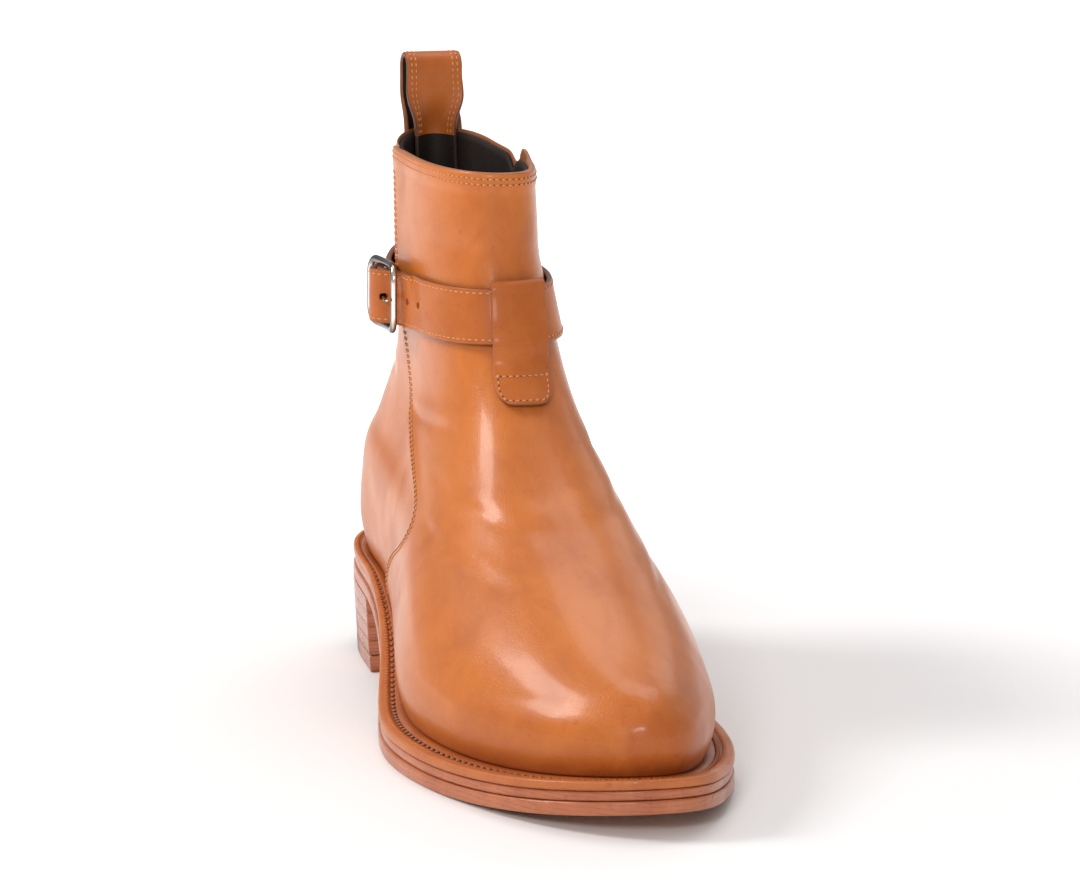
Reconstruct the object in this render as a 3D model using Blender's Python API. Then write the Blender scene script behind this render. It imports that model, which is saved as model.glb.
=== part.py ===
"""Jodhpur ankle boot for the right foot: hollow leather upper on a stacked heel, one wrap strap with a buckle.

The frame: +Z up, the toe towards -Y, the wearer's left (inside of the foot) towards +X. The origin is on the
floor under the heel. Inside the functions a place is written as (forward, side, height): forward is measured
from the back of the last, side is positive towards the inside of the foot.
"""

import math

import bmesh
import bpy
import numpy as np

# Overall sizes, metres
LAST_LENGTH = 0.289
BALL_WIDTH = 0.091
TOE_OFFSET = 0.004
SHAFT_HEIGHT = 0.1475
SHAFT_WIDTH = 0.050
SHAFT_LEAN = 0.0052
HEEL_CENTRE = 0.040

# Sole, metres
HEEL_HEIGHT = 0.0270
HEEL_LENGTH = 0.066
SEAT_RISE = 0.0018
ARCH_END = 0.170
TOE_SPRING_START = 0.215
TOE_SPRING = 0.0065
OUTSOLE_THICKNESS = 0.0046
MIDSOLE_THICKNESS = 0.0030
WELT_THICKNESS = 0.0032
INSOLE_THICKNESS = 0.0045
WELT_REACH_HEEL = 0.0025
WELT_REACH_TOE = 0.0080
MIDSOLE_INSET = 0.0006
TOP_PIECE_THICKNESS = 0.0062
HEEL_LIFTS = 4
HEEL_TAPER = 0.0016
RUBBER_LENGTH = 0.034
GAP = 0.0003

# Upper, metres
WALL = 0.0022
FEATHER_GAP = 0.0005
INSOLE_GAP = 0.0006
PANEL_STEP = 0.0014
PANEL_FLARE = 0.0012
NOTCH_DEPTH = 0.0045
CORNER_DROP = 0.0020

# Strips and strap, metres
STRIP_WIDTH = 0.0205
STRIP_THICKNESS = 0.0016
STRIP_GAP = 0.0005
LOOP_HEIGHT = 0.0275
LOOP_DEPTH = 0.0096
LOOP_TUCK = 0.0200
LOOP_SETTLE = 0.80
STRAP_HEIGHT = 0.1385
STRAP_WIDTH = 0.0190
STRAP_THICKNESS = 0.0020
STRAP_GAP = 0.0007
TUNNEL_GAP = 0.0007
HOLE_DIAMETER = 0.0024
HOLE_PITCH = 0.0080
TAB_WIDTH = 0.0195
TAB_BOTTOM = 0.1100
TAB_THICKNESS = 0.0018
TAB_SIDE = -0.0010
TAB_DRIFT = -0.0020
TAB_GAP = 0.0007

# Buckle, metres
BUCKLE_LENGTH = 0.0270
BUCKLE_HEIGHT = 0.0250
BUCKLE_BAR = 0.0028
BUCKLE_CORNER = 0.0050
HINGE_BAR = 0.0024
PRONG = 0.0020
BAR_GAP = 0.0010

# Mesh counts, and the angle in degrees from which an edge is shaded sharp
RING_STEPS = 22
BACK_COLUMNS = 18
FRONT_COLUMNS = 22
SOLE_COLUMNS = 88
TAB_COLUMNS = 7
STRIP_COLUMNS = 7
SHARP_ANGLE = 38.0

STACK = OUTSOLE_THICKNESS + MIDSOLE_THICKNESS + WELT_THICKNESS + 2 * GAP

# Plan of the last: share of the length, half widths inside and outside as shares of the ball width
PLAN_COLUMNS = ("along", "inside", "outside")
PLAN_ROWS = (
    (0.05, 0.262, 0.272),
    (0.16, 0.352, 0.362),
    (0.40, 0.335, 0.430),
    (0.64, 0.462, 0.568),
    (0.82, 0.402, 0.465),
    (0.94, 0.245, 0.262),
)

# Rings of the upper from the feather line to the collar. back and front are shares of the last's length,
# back_lift and front_lift are heights above the welt as shares of the shaft's height, ridge is the crest's
# place to the side as a share of the ball width, follow is how far the ring follows the sole's curve,
# foot is its share of the foot's plan, width scales the foot's plan, shaft is the half width of the leg part
# as a share of the shaft's width, and crown is the distance over which the crest rounds off as a share of the
# last's length.
RING_COLUMNS = ("back", "back_lift", "front", "front_lift", "ridge", "follow", "foot", "width", "shaft", "crown")
RING_ROWS = {
    "feather": (0.017, 0.000, 0.982, 0.000, 0.040, 1.00, 1.00, 0.940, 0.60, 0.085),
    "wall":    (0.002, 0.075, 1.000, 0.070, 0.040, 1.00, 1.00, 1.000, 0.60, 0.082),
    "toe":     (0.000, 0.163, 0.986, 0.152, 0.040, 0.85, 0.97, 0.995, 0.60, 0.076),
    "box":     (0.006, 0.256, 0.922, 0.210, 0.040, 0.60, 0.88, 0.985, 0.58, 0.090),
    "vamp":    (0.022, 0.330, 0.785, 0.345, 0.045, 0.22, 0.58, 0.985, 0.53, 0.160),
    "lower":   (0.036, 0.396, 0.668, 0.459, 0.036, 0.05, 0.40, 0.990, 0.49, 0.185),
    "instep":  (0.049, 0.467, 0.580, 0.579, 0.016, 0.00, 0.24, 0.990, 0.45, 0.190),
    "ankle":   (0.055, 0.561, 0.502, 0.693, 0.000, 0.00, 0.08, 0.990, 0.43, 0.190),
    "strap":   (0.054, 0.691, 0.458, 0.822, 0.005, 0.00, 0.00, 1.000, 0.43, 0.180),
    "shaft":   (0.045, 0.841, 0.440, 0.960, 0.020, 0.00, 0.00, 1.000, 0.39, 0.175),
    "collar":  (0.032, 1.000, 0.432, 1.128, 0.030, 0.00, 0.00, 1.000, 0.37, 0.175),
}

# Edge of the front panel on the upper: share of the way from feather to collar, then the ring angle in degrees
# on the inside and on the outside of the foot (0 is the heel's back, 180 the front)
EDGE_COLUMNS = ("rise", "inside", "outside")
EDGE_ROWS = (
    (0.00, 70.0, 292.0),
    (0.10, 74.0, 287.0),
    (0.20, 84.0, 275.0),
    (0.32, 95.0, 265.0),
    (0.45, 92.0, 268.0),
    (0.65, 88.0, 276.0),
    (0.80, 92.0, 279.0),
    (1.00, 104.0, 288.0),
)

# Path of the strap at the buckle, measured from the hinge bar's foot on the leather: along is towards the
# toe and out is away from the boot, both in strap thicknesses. The folded end lies on the lower layer, the
# free end passes over both and under the rear bar.
BUCKLE_COLUMNS = ("along", "out")
CHAPE_ROWS = (
    (-5.3, 2.05),
    (-4.4, 2.15),
    (-3.2, 2.70),
    (-1.8, 3.60),
)
LOWER_ROWS = (
    (-2.0, 1.35),
    (-4.0, 0.92),
    (-6.0, 0.82),
)
BILLET_ROWS = (
    (9.3, 0.95),
    (6.8, 1.45),
    (4.4, 2.15),
    (2.8, 3.30),
    (2.3, 4.30),
    (1.3, 5.20),
    (0.0, 5.55),
    (-2.0, 4.95),
    (-4.0, 3.65),
    (-6.0, 2.55),
    (-8.0, 2.20),
    (-10.5, 2.15),
    (-12.5, 2.35),
)
HINGE_ANGLE = 269.0
HINGE_OUT = 2.95

MATERIALS = {
    "tan_leather": ((0.62, 0.25, 0.10), 0.42, 0.0),
    "welt_leather": ((0.52, 0.20, 0.08), 0.50, 0.0),
    "edge_leather": ((0.50, 0.17, 0.07), 0.45, 0.0),
    "outsole_leather": ((0.68, 0.36, 0.20), 0.35, 0.0),
    "heel_leather": ((0.36, 0.10, 0.045), 0.40, 0.0),
    "black_rubber": ((0.02, 0.02, 0.022), 0.55, 0.0),
    "insole_leather": ((0.50, 0.34, 0.22), 0.60, 0.0),
    "nickel_metal": ((0.72, 0.71, 0.69), 0.22, 1.0),
}


def column(rows, names, name):
    """One named column of a table as an array."""
    return np.array([row[names.index(name)] for row in rows], float)


def ease(t):
    """Smooth step between 0 and 1."""
    t = np.clip(t, 0.0, 1.0)
    return t * t * (3.0 - 2.0 * t)


def spline(knots, values, at):
    """Natural cubic spline through a table of values, evaluated at the given places."""
    knots = np.asarray(knots, float)
    values = np.asarray(values, float)
    at = np.asarray(at, float)
    count = len(knots)
    step = np.diff(knots)
    slope = np.diff(values, axis=0) / step.reshape((-1,) + (1,) * (values.ndim - 1))
    matrix = np.eye(count)
    right = np.zeros((count,) + values.shape[1:])
    for i in range(1, count - 1):
        matrix[i, i - 1:i + 2] = step[i - 1], 2 * (step[i - 1] + step[i]), step[i]
        right[i] = 6 * (slope[i] - slope[i - 1])
    bend = np.linalg.solve(matrix, right.reshape(count, -1)).reshape(right.shape)
    k = np.clip(np.searchsorted(knots, at) - 1, 0, count - 2)
    extra = at.shape + (1,) * (values.ndim - 1)
    d = (at - knots[k]).reshape(extra)
    h = step[k].reshape(extra)
    linear = values[k] + d * (slope[k] - h * (2 * bend[k] + bend[k + 1]) / 6)
    return linear + d ** 2 * bend[k] / 2 + d ** 3 * (bend[k + 1] - bend[k]) / (6 * h)


def bottom_height(forward):
    """Height of the outsole's underside above the floor: heel seat, arch, flat tread and toe spring."""
    forward = np.asarray(forward, float)
    seat = HEEL_HEIGHT + SEAT_RISE * (1 - forward / HEEL_LENGTH)
    arch = seat * (1 - ease((forward - HEEL_LENGTH + 0.004) / (ARCH_END - HEEL_LENGTH + 0.004)))
    spring = np.clip((forward - TOE_SPRING_START) / (LAST_LENGTH - TOE_SPRING_START), 0.0, None)
    return arch + TOE_SPRING * spring ** 2


def welt_height(forward):
    """Height of the welt's top face."""
    return bottom_height(forward) + STACK


def plan_side(along, side):
    """Distance of the last's outline from its axis at a share of the length, with its sign."""
    angle = np.arccos(1 - 2 * np.clip(along, 0.0, 1.0))
    angle = np.where(side > 0, angle, 2 * math.pi - angle)
    knots = np.arccos(1 - 2 * column(PLAN_ROWS, PLAN_COLUMNS, "along"))
    inside = column(PLAN_ROWS, PLAN_COLUMNS, "inside") * BALL_WIDTH
    outside = column(PLAN_ROWS, PLAN_COLUMNS, "outside") * BALL_WIDTH
    ring = np.concatenate([[0.0], knots, [math.pi], 2 * math.pi - knots[::-1]])
    value = np.concatenate([[0.0], inside, [TOE_OFFSET], -outside[::-1]])
    turns = np.concatenate([ring - 2 * math.pi, ring, ring + 2 * math.pi])
    return spline(turns, np.tile(value, 3), angle)


def ring_table():
    """The rings' rows in metres, and the share of the rise at which each one stands."""
    rows = []
    for back, back_lift, front, front_lift, ridge, follow, foot, width, shaft, crown in RING_ROWS.values():
        back_at = back * LAST_LENGTH
        front_at = front * LAST_LENGTH
        back_z = float(welt_height(back_at)) + back_lift * SHAFT_HEIGHT
        front_z = float(welt_height(front_at)) + front_lift * SHAFT_HEIGHT
        rows.append((back_at, back_z, front_at, front_z, ridge * BALL_WIDTH, follow, foot, width,
                     shaft * SHAFT_WIDTH, crown * LAST_LENGTH))
    table = np.array(rows)
    back_step = np.linalg.norm(np.diff(table[:, 0:2], axis=0), axis=1)
    front_step = np.linalg.norm(np.diff(table[:, 2:4], axis=0), axis=1)
    rise = np.concatenate([[0.0], np.cumsum(back_step + front_step)])
    return rise / rise[-1], table


RING_RISE, RING_TABLE = ring_table()
CREST = spline(RING_RISE, RING_TABLE, np.linspace(RING_RISE[1], 1.0, 1600))


def round_off(share, power=2.3):
    """Half width, as a share of the full one, at a share of the way in from a rounded edge."""
    return (1 - (1 - np.clip(share, 0.0, 1.0)) ** power) ** (1 / power)


def crest_distance(forward, height):
    """Distance of places in side view from the crest's line, and the crown's width at the nearest place."""
    place = np.stack([forward, height], -1)
    toward = np.hypot(CREST[:, 2] - forward[:, None], CREST[:, 3] - height[:, None])
    nearest = toward.argmin(1)
    distance = toward.min(1)
    for step in (-1, 1):
        other = np.clip(nearest + step, 0, len(CREST) - 1)
        along = CREST[other, 2:4] - CREST[nearest, 2:4]
        from_point = place - CREST[nearest, 2:4]
        share = (from_point * along).sum(-1) / np.maximum((along ** 2).sum(-1), 1e-12)
        gap = from_point - along * np.clip(share, 0.0, 1.0)[:, None]
        distance = np.minimum(distance, np.linalg.norm(gap, axis=-1))
    return distance, CREST[nearest, 9]


def last_points(rise, angle):
    """Points of the last's surface (forward, side, height) for shares of the rise and ring angles."""
    rise, angle = np.broadcast_arrays(np.asarray(rise, float), np.asarray(angle, float))
    shape = rise.shape
    rise = rise.ravel()
    angle = np.mod(angle.ravel(), 2 * math.pi)
    side = np.where(angle <= math.pi, 1.0, -1.0)
    share = (1 - np.cos(angle)) / 2
    back, back_z, front, front_z, ridge, follow, foot, width, shaft, crown = spline(
        RING_RISE, RING_TABLE, rise).T
    follow = np.clip(follow, 0.0, 1.0)
    foot = np.clip(foot, 0.0, 1.0) ** (1.6 - 1.2 * share)
    forward = back + (front - back) * share
    line = back_z + (front_z - back_z) * share
    bed = (welt_height(forward) + (back_z - welt_height(back)) * (1 - share)
           + (front_z - welt_height(front)) * share)
    height = follow * bed + (1 - follow) * line
    tip = np.where(rise > RING_RISE[1], LAST_LENGTH, front)
    foot_side = plan_side((forward - back) / (tip - back), side) * width
    leg_side = side * shaft * round_off((forward - back) / (0.19 * LAST_LENGTH), 2.1)
    full = foot * foot_side + (1 - foot) * leg_side
    distance, crown = crest_distance(forward, height)
    rounded = round_off(distance / crown)
    fade = ease((rise - RING_RISE[1]) / (RING_RISE[2] - RING_RISE[1]))
    rounded = 1 + (rounded - 1) * fade
    lateral = full * rounded + ridge * ease(share) * (1 - rounded)
    lateral -= SHAFT_LEAN * ease((height - 0.09) / 0.08) * ease(2.2 * share)
    return np.stack([forward, lateral, height], -1).reshape(shape + (3,))


def last_normals(rise, angle):
    """Outward unit normals of the last's surface."""
    rise, angle = np.broadcast_arrays(np.asarray(rise, float), np.asarray(angle, float))
    low = np.clip(rise - 0.006, 0.0, 1.0)
    high = np.clip(rise + 0.006, 0.0, 1.0)
    up = last_points(high, angle) - last_points(low, angle)
    turn = last_points(rise, angle + 0.03) - last_points(rise, angle - 0.03)
    normal = np.cross(up, turn)
    return normal / np.linalg.norm(normal, axis=-1, keepdims=True)


def edge_angles(rise):
    """Ring angles in radians of the front panel's two edges."""
    knots = column(EDGE_ROWS, EDGE_COLUMNS, "rise")
    inside = np.radians(spline(knots, column(EDGE_ROWS, EDGE_COLUMNS, "inside"), rise))
    outside = np.radians(spline(knots, column(EDGE_ROWS, EDGE_COLUMNS, "outside"), rise))
    return inside, outside


def panel_cover(rise, angle):
    """How far the upper's outside stands off the last: the front panel lies over the quarters."""
    inside, outside = edge_angles(rise)
    from_outside = outside - angle
    on_panel = (angle - inside > -1e-6) & (from_outside > -1e-6)
    under_strap = ease((rise - 0.30) / 0.12) * (1 - ease((rise - 0.50) / 0.08))
    flare = PANEL_FLARE * under_strap * np.clip(1 - from_outside / 0.16, 0.0, 1.0) ** 2
    return np.where(on_panel, PANEL_STEP + flare, 0.0)


def strap_cover(rise, angle):
    """The same step, eased over the panel's edges for a strap that lies across them."""
    inside, outside = edge_angles(rise)
    angle = np.mod(angle, 2 * math.pi)
    reach = np.minimum(angle - inside, outside - angle)
    return PANEL_STEP * ease(1 + reach / 0.16)


def surface_points(rise, angle, out):
    """Points at a distance off the last's surface."""
    return last_points(rise, angle) + last_normals(rise, angle) * np.asarray(out, float)[..., None]


def rise_at(height, angle):
    """Share of the rise at which the last's surface reaches a height, for each ring angle."""
    steps = np.linspace(0.02, 1.0, 120)
    angle = np.atleast_1d(angle)
    heights = last_points(steps[:, None], angle[None, :])[..., 2]
    return np.array([np.interp(height, heights[:, i], steps) for i in range(len(angle))])


def angle_at(rise, side, middle, out):
    """Ring angle at which a layer over a ring passes a place to the side, near the back or the front."""
    steps = np.linspace(middle - 1.3, middle + 1.3, 120)
    places = surface_points(np.full(120, rise), steps, np.full(120, out))[..., 1]
    if places[-1] < places[0]:
        return np.interp(side, places[::-1], steps[::-1])
    return np.interp(side, places, steps)


def to_world(points):
    """Turn (forward, side, height) into the part's frame."""
    points = np.asarray(points, float)
    return np.stack([points[..., 1], HEEL_CENTRE - points[..., 0], points[..., 2]], -1)


def make_material(name):
    """Plain Principled material of one row of the materials' table."""
    colour, roughness, metallic = MATERIALS[name]
    material = bpy.data.materials.new(name)
    material.use_nodes = True
    shader = material.node_tree.nodes["Principled BSDF"]
    shader.inputs["Base Color"].default_value = (*colour, 1.0)
    shader.inputs["Roughness"].default_value = roughness
    shader.inputs["Metallic"].default_value = metallic
    material.diffuse_color = (*colour, 1.0)
    return material


def add_part(name, solid, material):
    """Make one named object from the points and faces of a closed solid."""
    points, faces = solid
    mesh = bpy.data.meshes.new(name)
    mesh.from_pydata([tuple(point) for point in to_world(points)], [], faces)
    shape = bmesh.new()
    shape.from_mesh(mesh)
    bmesh.ops.recalc_face_normals(shape, faces=shape.faces[:])
    shape.to_mesh(mesh)
    shape.free()
    for polygon in mesh.polygons:
        polygon.use_smooth = True
    mesh.materials.append(material)
    part = bpy.data.objects.new(name, mesh)
    bpy.context.scene.collection.objects.link(part)
    return part


def shell(outer, inner, cyclic):
    """Solid between two grids of points with the same rows and columns."""
    rows, columns = outer.shape[:2]
    points = np.concatenate([outer.reshape(-1, 3), inner.reshape(-1, 3)])
    half = rows * columns
    top = half - columns
    faces = []
    for c in range(columns if cyclic else columns - 1):
        d = (c + 1) % columns
        for start in range(0, top, columns):
            a, b = start + c, start + d
            faces.append((a, b, b + columns, a + columns))
            faces.append((half + a + columns, half + b + columns, half + b, half + a))
        faces.append((half + c, half + d, d, c))
        faces.append((top + c, top + d, half + top + d, half + top + c))
    if not cyclic:
        for a in range(0, top, columns):
            b = a + columns - 1
            faces.append((a, a + columns, half + a + columns, half + a))
            faces.append((half + b, half + b + columns, b + columns, b))
    return points, faces


def slab(lower, upper, pairs):
    """Solid between two closed loops, its faces crossed from side to side by strips between paired points."""
    count = len(lower)
    points = np.concatenate([lower, upper])
    faces = []
    for (a, b), (c, d) in zip(pairs, pairs[1:]):
        strip = list(dict.fromkeys((a, c, d, b)))
        faces.append(tuple(strip))
        faces.append(tuple(count + i for i in reversed(strip)))
    for i in range(count):
        j = (i + 1) % count
        faces.append((i, count + i, count + j, j))
    return points, faces


def ribbon(centre, thickness):
    """Solid strip of one thickness about a grid of middle points: rows run along it, columns across."""
    along = np.gradient(centre, axis=0)
    across = np.gradient(centre, axis=1)
    normal = np.cross(across, along)
    normal /= np.linalg.norm(normal, axis=-1, keepdims=True)
    half = normal * (thickness / 2)
    return shell(centre + half, centre - half, cyclic=False)


def tube(path, radius, sides, closed):
    """Round bar along a path, with a frame carried from point to point."""
    path = np.asarray(path, float)
    count = len(path)
    if closed:
        tangent = np.roll(path, -1, 0) - np.roll(path, 1, 0)
    else:
        tangent = np.gradient(path, axis=0)
    tangent /= np.linalg.norm(tangent, axis=1, keepdims=True)
    across = np.cross(tangent[0], (0.31, 0.23, 0.92))
    turns = np.linspace(0, 2 * math.pi, sides, endpoint=False)
    rings = []
    for i in range(count):
        across = across - tangent[i] * np.dot(across, tangent[i])
        across /= np.linalg.norm(across)
        other = np.cross(tangent[i], across)
        rings.append(path[i] + radius * (np.cos(turns)[:, None] * across + np.sin(turns)[:, None] * other))
    points = np.concatenate(rings)
    faces = []
    for i in range(count if closed else count - 1):
        j = (i + 1) % count
        shift = 0
        if closed and j == 0:
            gaps = np.linalg.norm(rings[0] - rings[-1][0], axis=1)
            shift = int(gaps.argmin())
        for k in range(sides):
            m = (k + 1) % sides
            faces.append((i * sides + k, i * sides + m, j * sides + (m + shift) % sides,
                          j * sides + (k + shift) % sides))
    if not closed:
        faces.append(tuple(range(sides)))
        faces.append(tuple((count - 1) * sides + k for k in reversed(range(sides))))
    return points, faces


def outline(angle, reach):
    """Plan outline (forward, side) of the last, moved outwards by the reach at each angle."""
    def plan(a):
        share = (1 - np.cos(a)) / 2
        side = np.where(np.mod(a, 2 * math.pi) <= math.pi, 1.0, -1.0)
        return np.stack([share * LAST_LENGTH, plan_side(share, side)], -1)

    turn = plan(angle + 0.01) - plan(angle - 0.01)
    normal = np.stack([-turn[:, 1], turn[:, 0]], -1)
    normal /= np.linalg.norm(normal, axis=1, keepdims=True)
    return plan(angle) + normal * np.asarray(reach, float).reshape(-1, 1)


def edge_reach(angle, inset=0.0):
    """How far the sole's edge stands out past the last, from heel to toe."""
    share = (1 - np.cos(angle)) / 2
    return WELT_REACH_HEEL + (WELT_REACH_TOE - WELT_REACH_HEEL) * ease((share - 0.15) / 0.5) - inset


def feather_outline(angle, inset):
    """Plan outline of the upper's bottom edge, moved inwards."""
    ring = last_points(0.0, angle)[:, :2]
    turn = last_points(0.0, angle + 0.02)[:, :2] - last_points(0.0, angle - 0.02)[:, :2]
    normal = np.stack([-turn[:, 1], turn[:, 0]], -1)
    normal /= np.linalg.norm(normal, axis=1, keepdims=True)
    return ring - normal * inset


def raised(loop, height):
    """Give plan points (forward, side) a height."""
    return np.column_stack([loop, np.broadcast_to(height, len(loop))])


def sole_angles():
    """Ring angles of the sole's loops, from the heel's back round the inside to the toe and back."""
    return np.linspace(0, 2 * math.pi, SOLE_COLUMNS, endpoint=False)


def across_pairs(count):
    """Pairs of facing points of a closed loop that starts at its back end."""
    half = count // 2
    return [(0, 0)] + [(i, count - i) for i in range(1, half)] + [(half, half)]


def sole_layer(inset, base, thickness):
    """One full-length layer of the sole that follows the arch and the toe spring."""
    loop = outline(sole_angles(), edge_reach(sole_angles(), inset))
    under = bottom_height(loop[:, 0]) + base
    return slab(raised(loop, under), raised(loop, under + thickness), across_pairs(SOLE_COLUMNS))


def build_sole(materials):
    """Outsole, midsole, welt and insole."""
    add_part("outsole", sole_layer(0.0, 0.0, OUTSOLE_THICKNESS), materials["outsole_leather"])
    base = OUTSOLE_THICKNESS + GAP
    add_part("midsole", sole_layer(MIDSOLE_INSET, base, MIDSOLE_THICKNESS), materials["edge_leather"])
    base += MIDSOLE_THICKNESS + GAP
    angle = sole_angles()
    outer = outline(angle, edge_reach(angle))
    inner = feather_outline(angle, WALL)
    rows = []
    for loop in (outer, inner):
        under = bottom_height(loop[:, 0]) + base
        rows.append(np.stack([raised(loop, under), raised(loop, under + WELT_THICKNESS)]))
    add_part("welt", shell(rows[0], rows[1], cyclic=True), materials["welt_leather"])
    loop = feather_outline(angle, WALL + INSOLE_GAP)
    under = bottom_height(loop[:, 0]) + base
    insole = slab(raised(loop, under), raised(loop, under + INSOLE_THICKNESS), across_pairs(SOLE_COLUMNS))
    add_part("insole", insole, materials["insole_leather"])


def heel_loop(start, end, inset):
    """Plan loop of the heel between two places forward: inside edge backwards, outside edge forwards."""
    angle = np.linspace(0, 1.4, 200)
    sides = []
    for turn in (1.0, -1.0):
        edge = outline(turn * angle, edge_reach(angle, inset))
        first = max(start, edge[0, 0])
        share = np.linspace(0.0, 1.0, 13)
        spread = share ** 2 if start < edge[0, 0] else share
        forward = first + (end - first) * spread
        side = np.interp(forward, edge[:, 0], edge[:, 1])
        sides.append(np.column_stack([forward, side]))
    inside, outside = sides
    if start < 0:
        outside = outside[1:]
    return np.concatenate([inside[::-1], outside])


def facing_pairs(count):
    """Pairs of facing points of a loop that starts at one front corner and ends at the other."""
    return [(i, count - 1 - i) for i in range((count + 1) // 2)]


def heel_layer(start, end, base, top):
    """One layer of the heel; top is a height or None for the layer that meets the outsole."""
    lower = heel_loop(start, end, HEEL_TAPER * (1 - base / HEEL_HEIGHT))
    reach = base if top is None else top
    upper = heel_loop(start, end, HEEL_TAPER * (1 - reach / HEEL_HEIGHT))
    height = bottom_height(upper[:, 0]) - GAP if top is None else top
    return slab(raised(lower, base), raised(upper, height), facing_pairs(len(lower)))


def build_heel(materials):
    """Stacked lifts, and a top piece of leather in front and rubber behind."""
    split = RUBBER_LENGTH
    rubber = heel_layer(-1.0, split - GAP / 2, 0.0, TOP_PIECE_THICKNESS)
    leather = heel_layer(split + GAP / 2, HEEL_LENGTH, 0.0, TOP_PIECE_THICKNESS)
    add_part("heel_tip_rubber", rubber, materials["black_rubber"])
    add_part("heel_tip_leather", leather, materials["outsole_leather"])
    base = TOP_PIECE_THICKNESS + GAP
    lift = (HEEL_HEIGHT - base) / HEEL_LIFTS
    for i in range(HEEL_LIFTS):
        top = None if i == HEEL_LIFTS - 1 else base + lift - GAP
        solid = heel_layer(-1.0, HEEL_LENGTH, base, top)
        add_part("heel_lift_%d" % (i + 1), solid, materials["heel_leather"])
        base += lift


def upper_grid():
    """Ring angles of every column of the upper on every ring: quarters, edge of the panel, panel, edge."""
    rise = np.linspace(0, 1, RING_STEPS + 1) ** 1.2
    inside, outside = edge_angles(rise)
    step, near = 0.010, 0.035
    columns = []
    for share in np.linspace(0, 1, BACK_COLUMNS // 2 + 1):
        columns.append(share * (inside - near))
    columns.append(inside - step)
    columns.append(inside)
    for share in np.linspace(0, 1, FRONT_COLUMNS + 1):
        columns.append(inside + near + share * (outside - inside - 2 * near))
    columns.append(outside)
    columns.append(outside + step)
    full = 2 * math.pi
    for share in np.linspace(0, 1, BACK_COLUMNS // 2 + 1)[:-1]:
        columns.append(outside + near + share * (full - outside - near))
    return rise, np.stack(columns, -1)


def build_upper(materials):
    """The hollow upper: one wall from the feather line to the collar, stepped out over the front panel."""
    rise, angle = upper_grid()
    rise = np.broadcast_to(rise[:, None], angle.shape)
    outer = surface_points(rise, angle, panel_cover(rise, angle))
    inner = surface_points(rise, angle, np.full(angle.shape, -WALL))
    for grid in (outer, inner):
        grid[0, :, 2] = welt_height(grid[0, :, 0]) + FEATHER_GAP
        inside, outside = edge_angles(1.0)
        at_inside = np.abs(angle[-1] - inside) < 0.02
        at_outside = np.abs(angle[-1] - outside) < 0.02
        grid[-1, :, 2] -= NOTCH_DEPTH * at_inside + CORNER_DROP * at_outside
    add_part("upper", shell(outer, inner, cyclic=True), materials["tan_leather"])


def wall_inside(height, across, gap):
    """Places (forward, side) of a layer inside the heel's back, at distances from its middle along the wall."""
    rise = float(rise_at(height, 0.0)[0])
    angle = np.linspace(-1.3, 1.3, 241)
    places = surface_points(np.full(241, rise), angle, np.full(241, -WALL - gap))[:, :2]
    run = np.concatenate([[0.0], np.cumsum(np.linalg.norm(np.diff(places, axis=0), axis=1))])
    run -= run[120]
    return np.column_stack([np.interp(across, run, places[:, 0]), np.interp(across, run, places[:, 1])])


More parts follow.
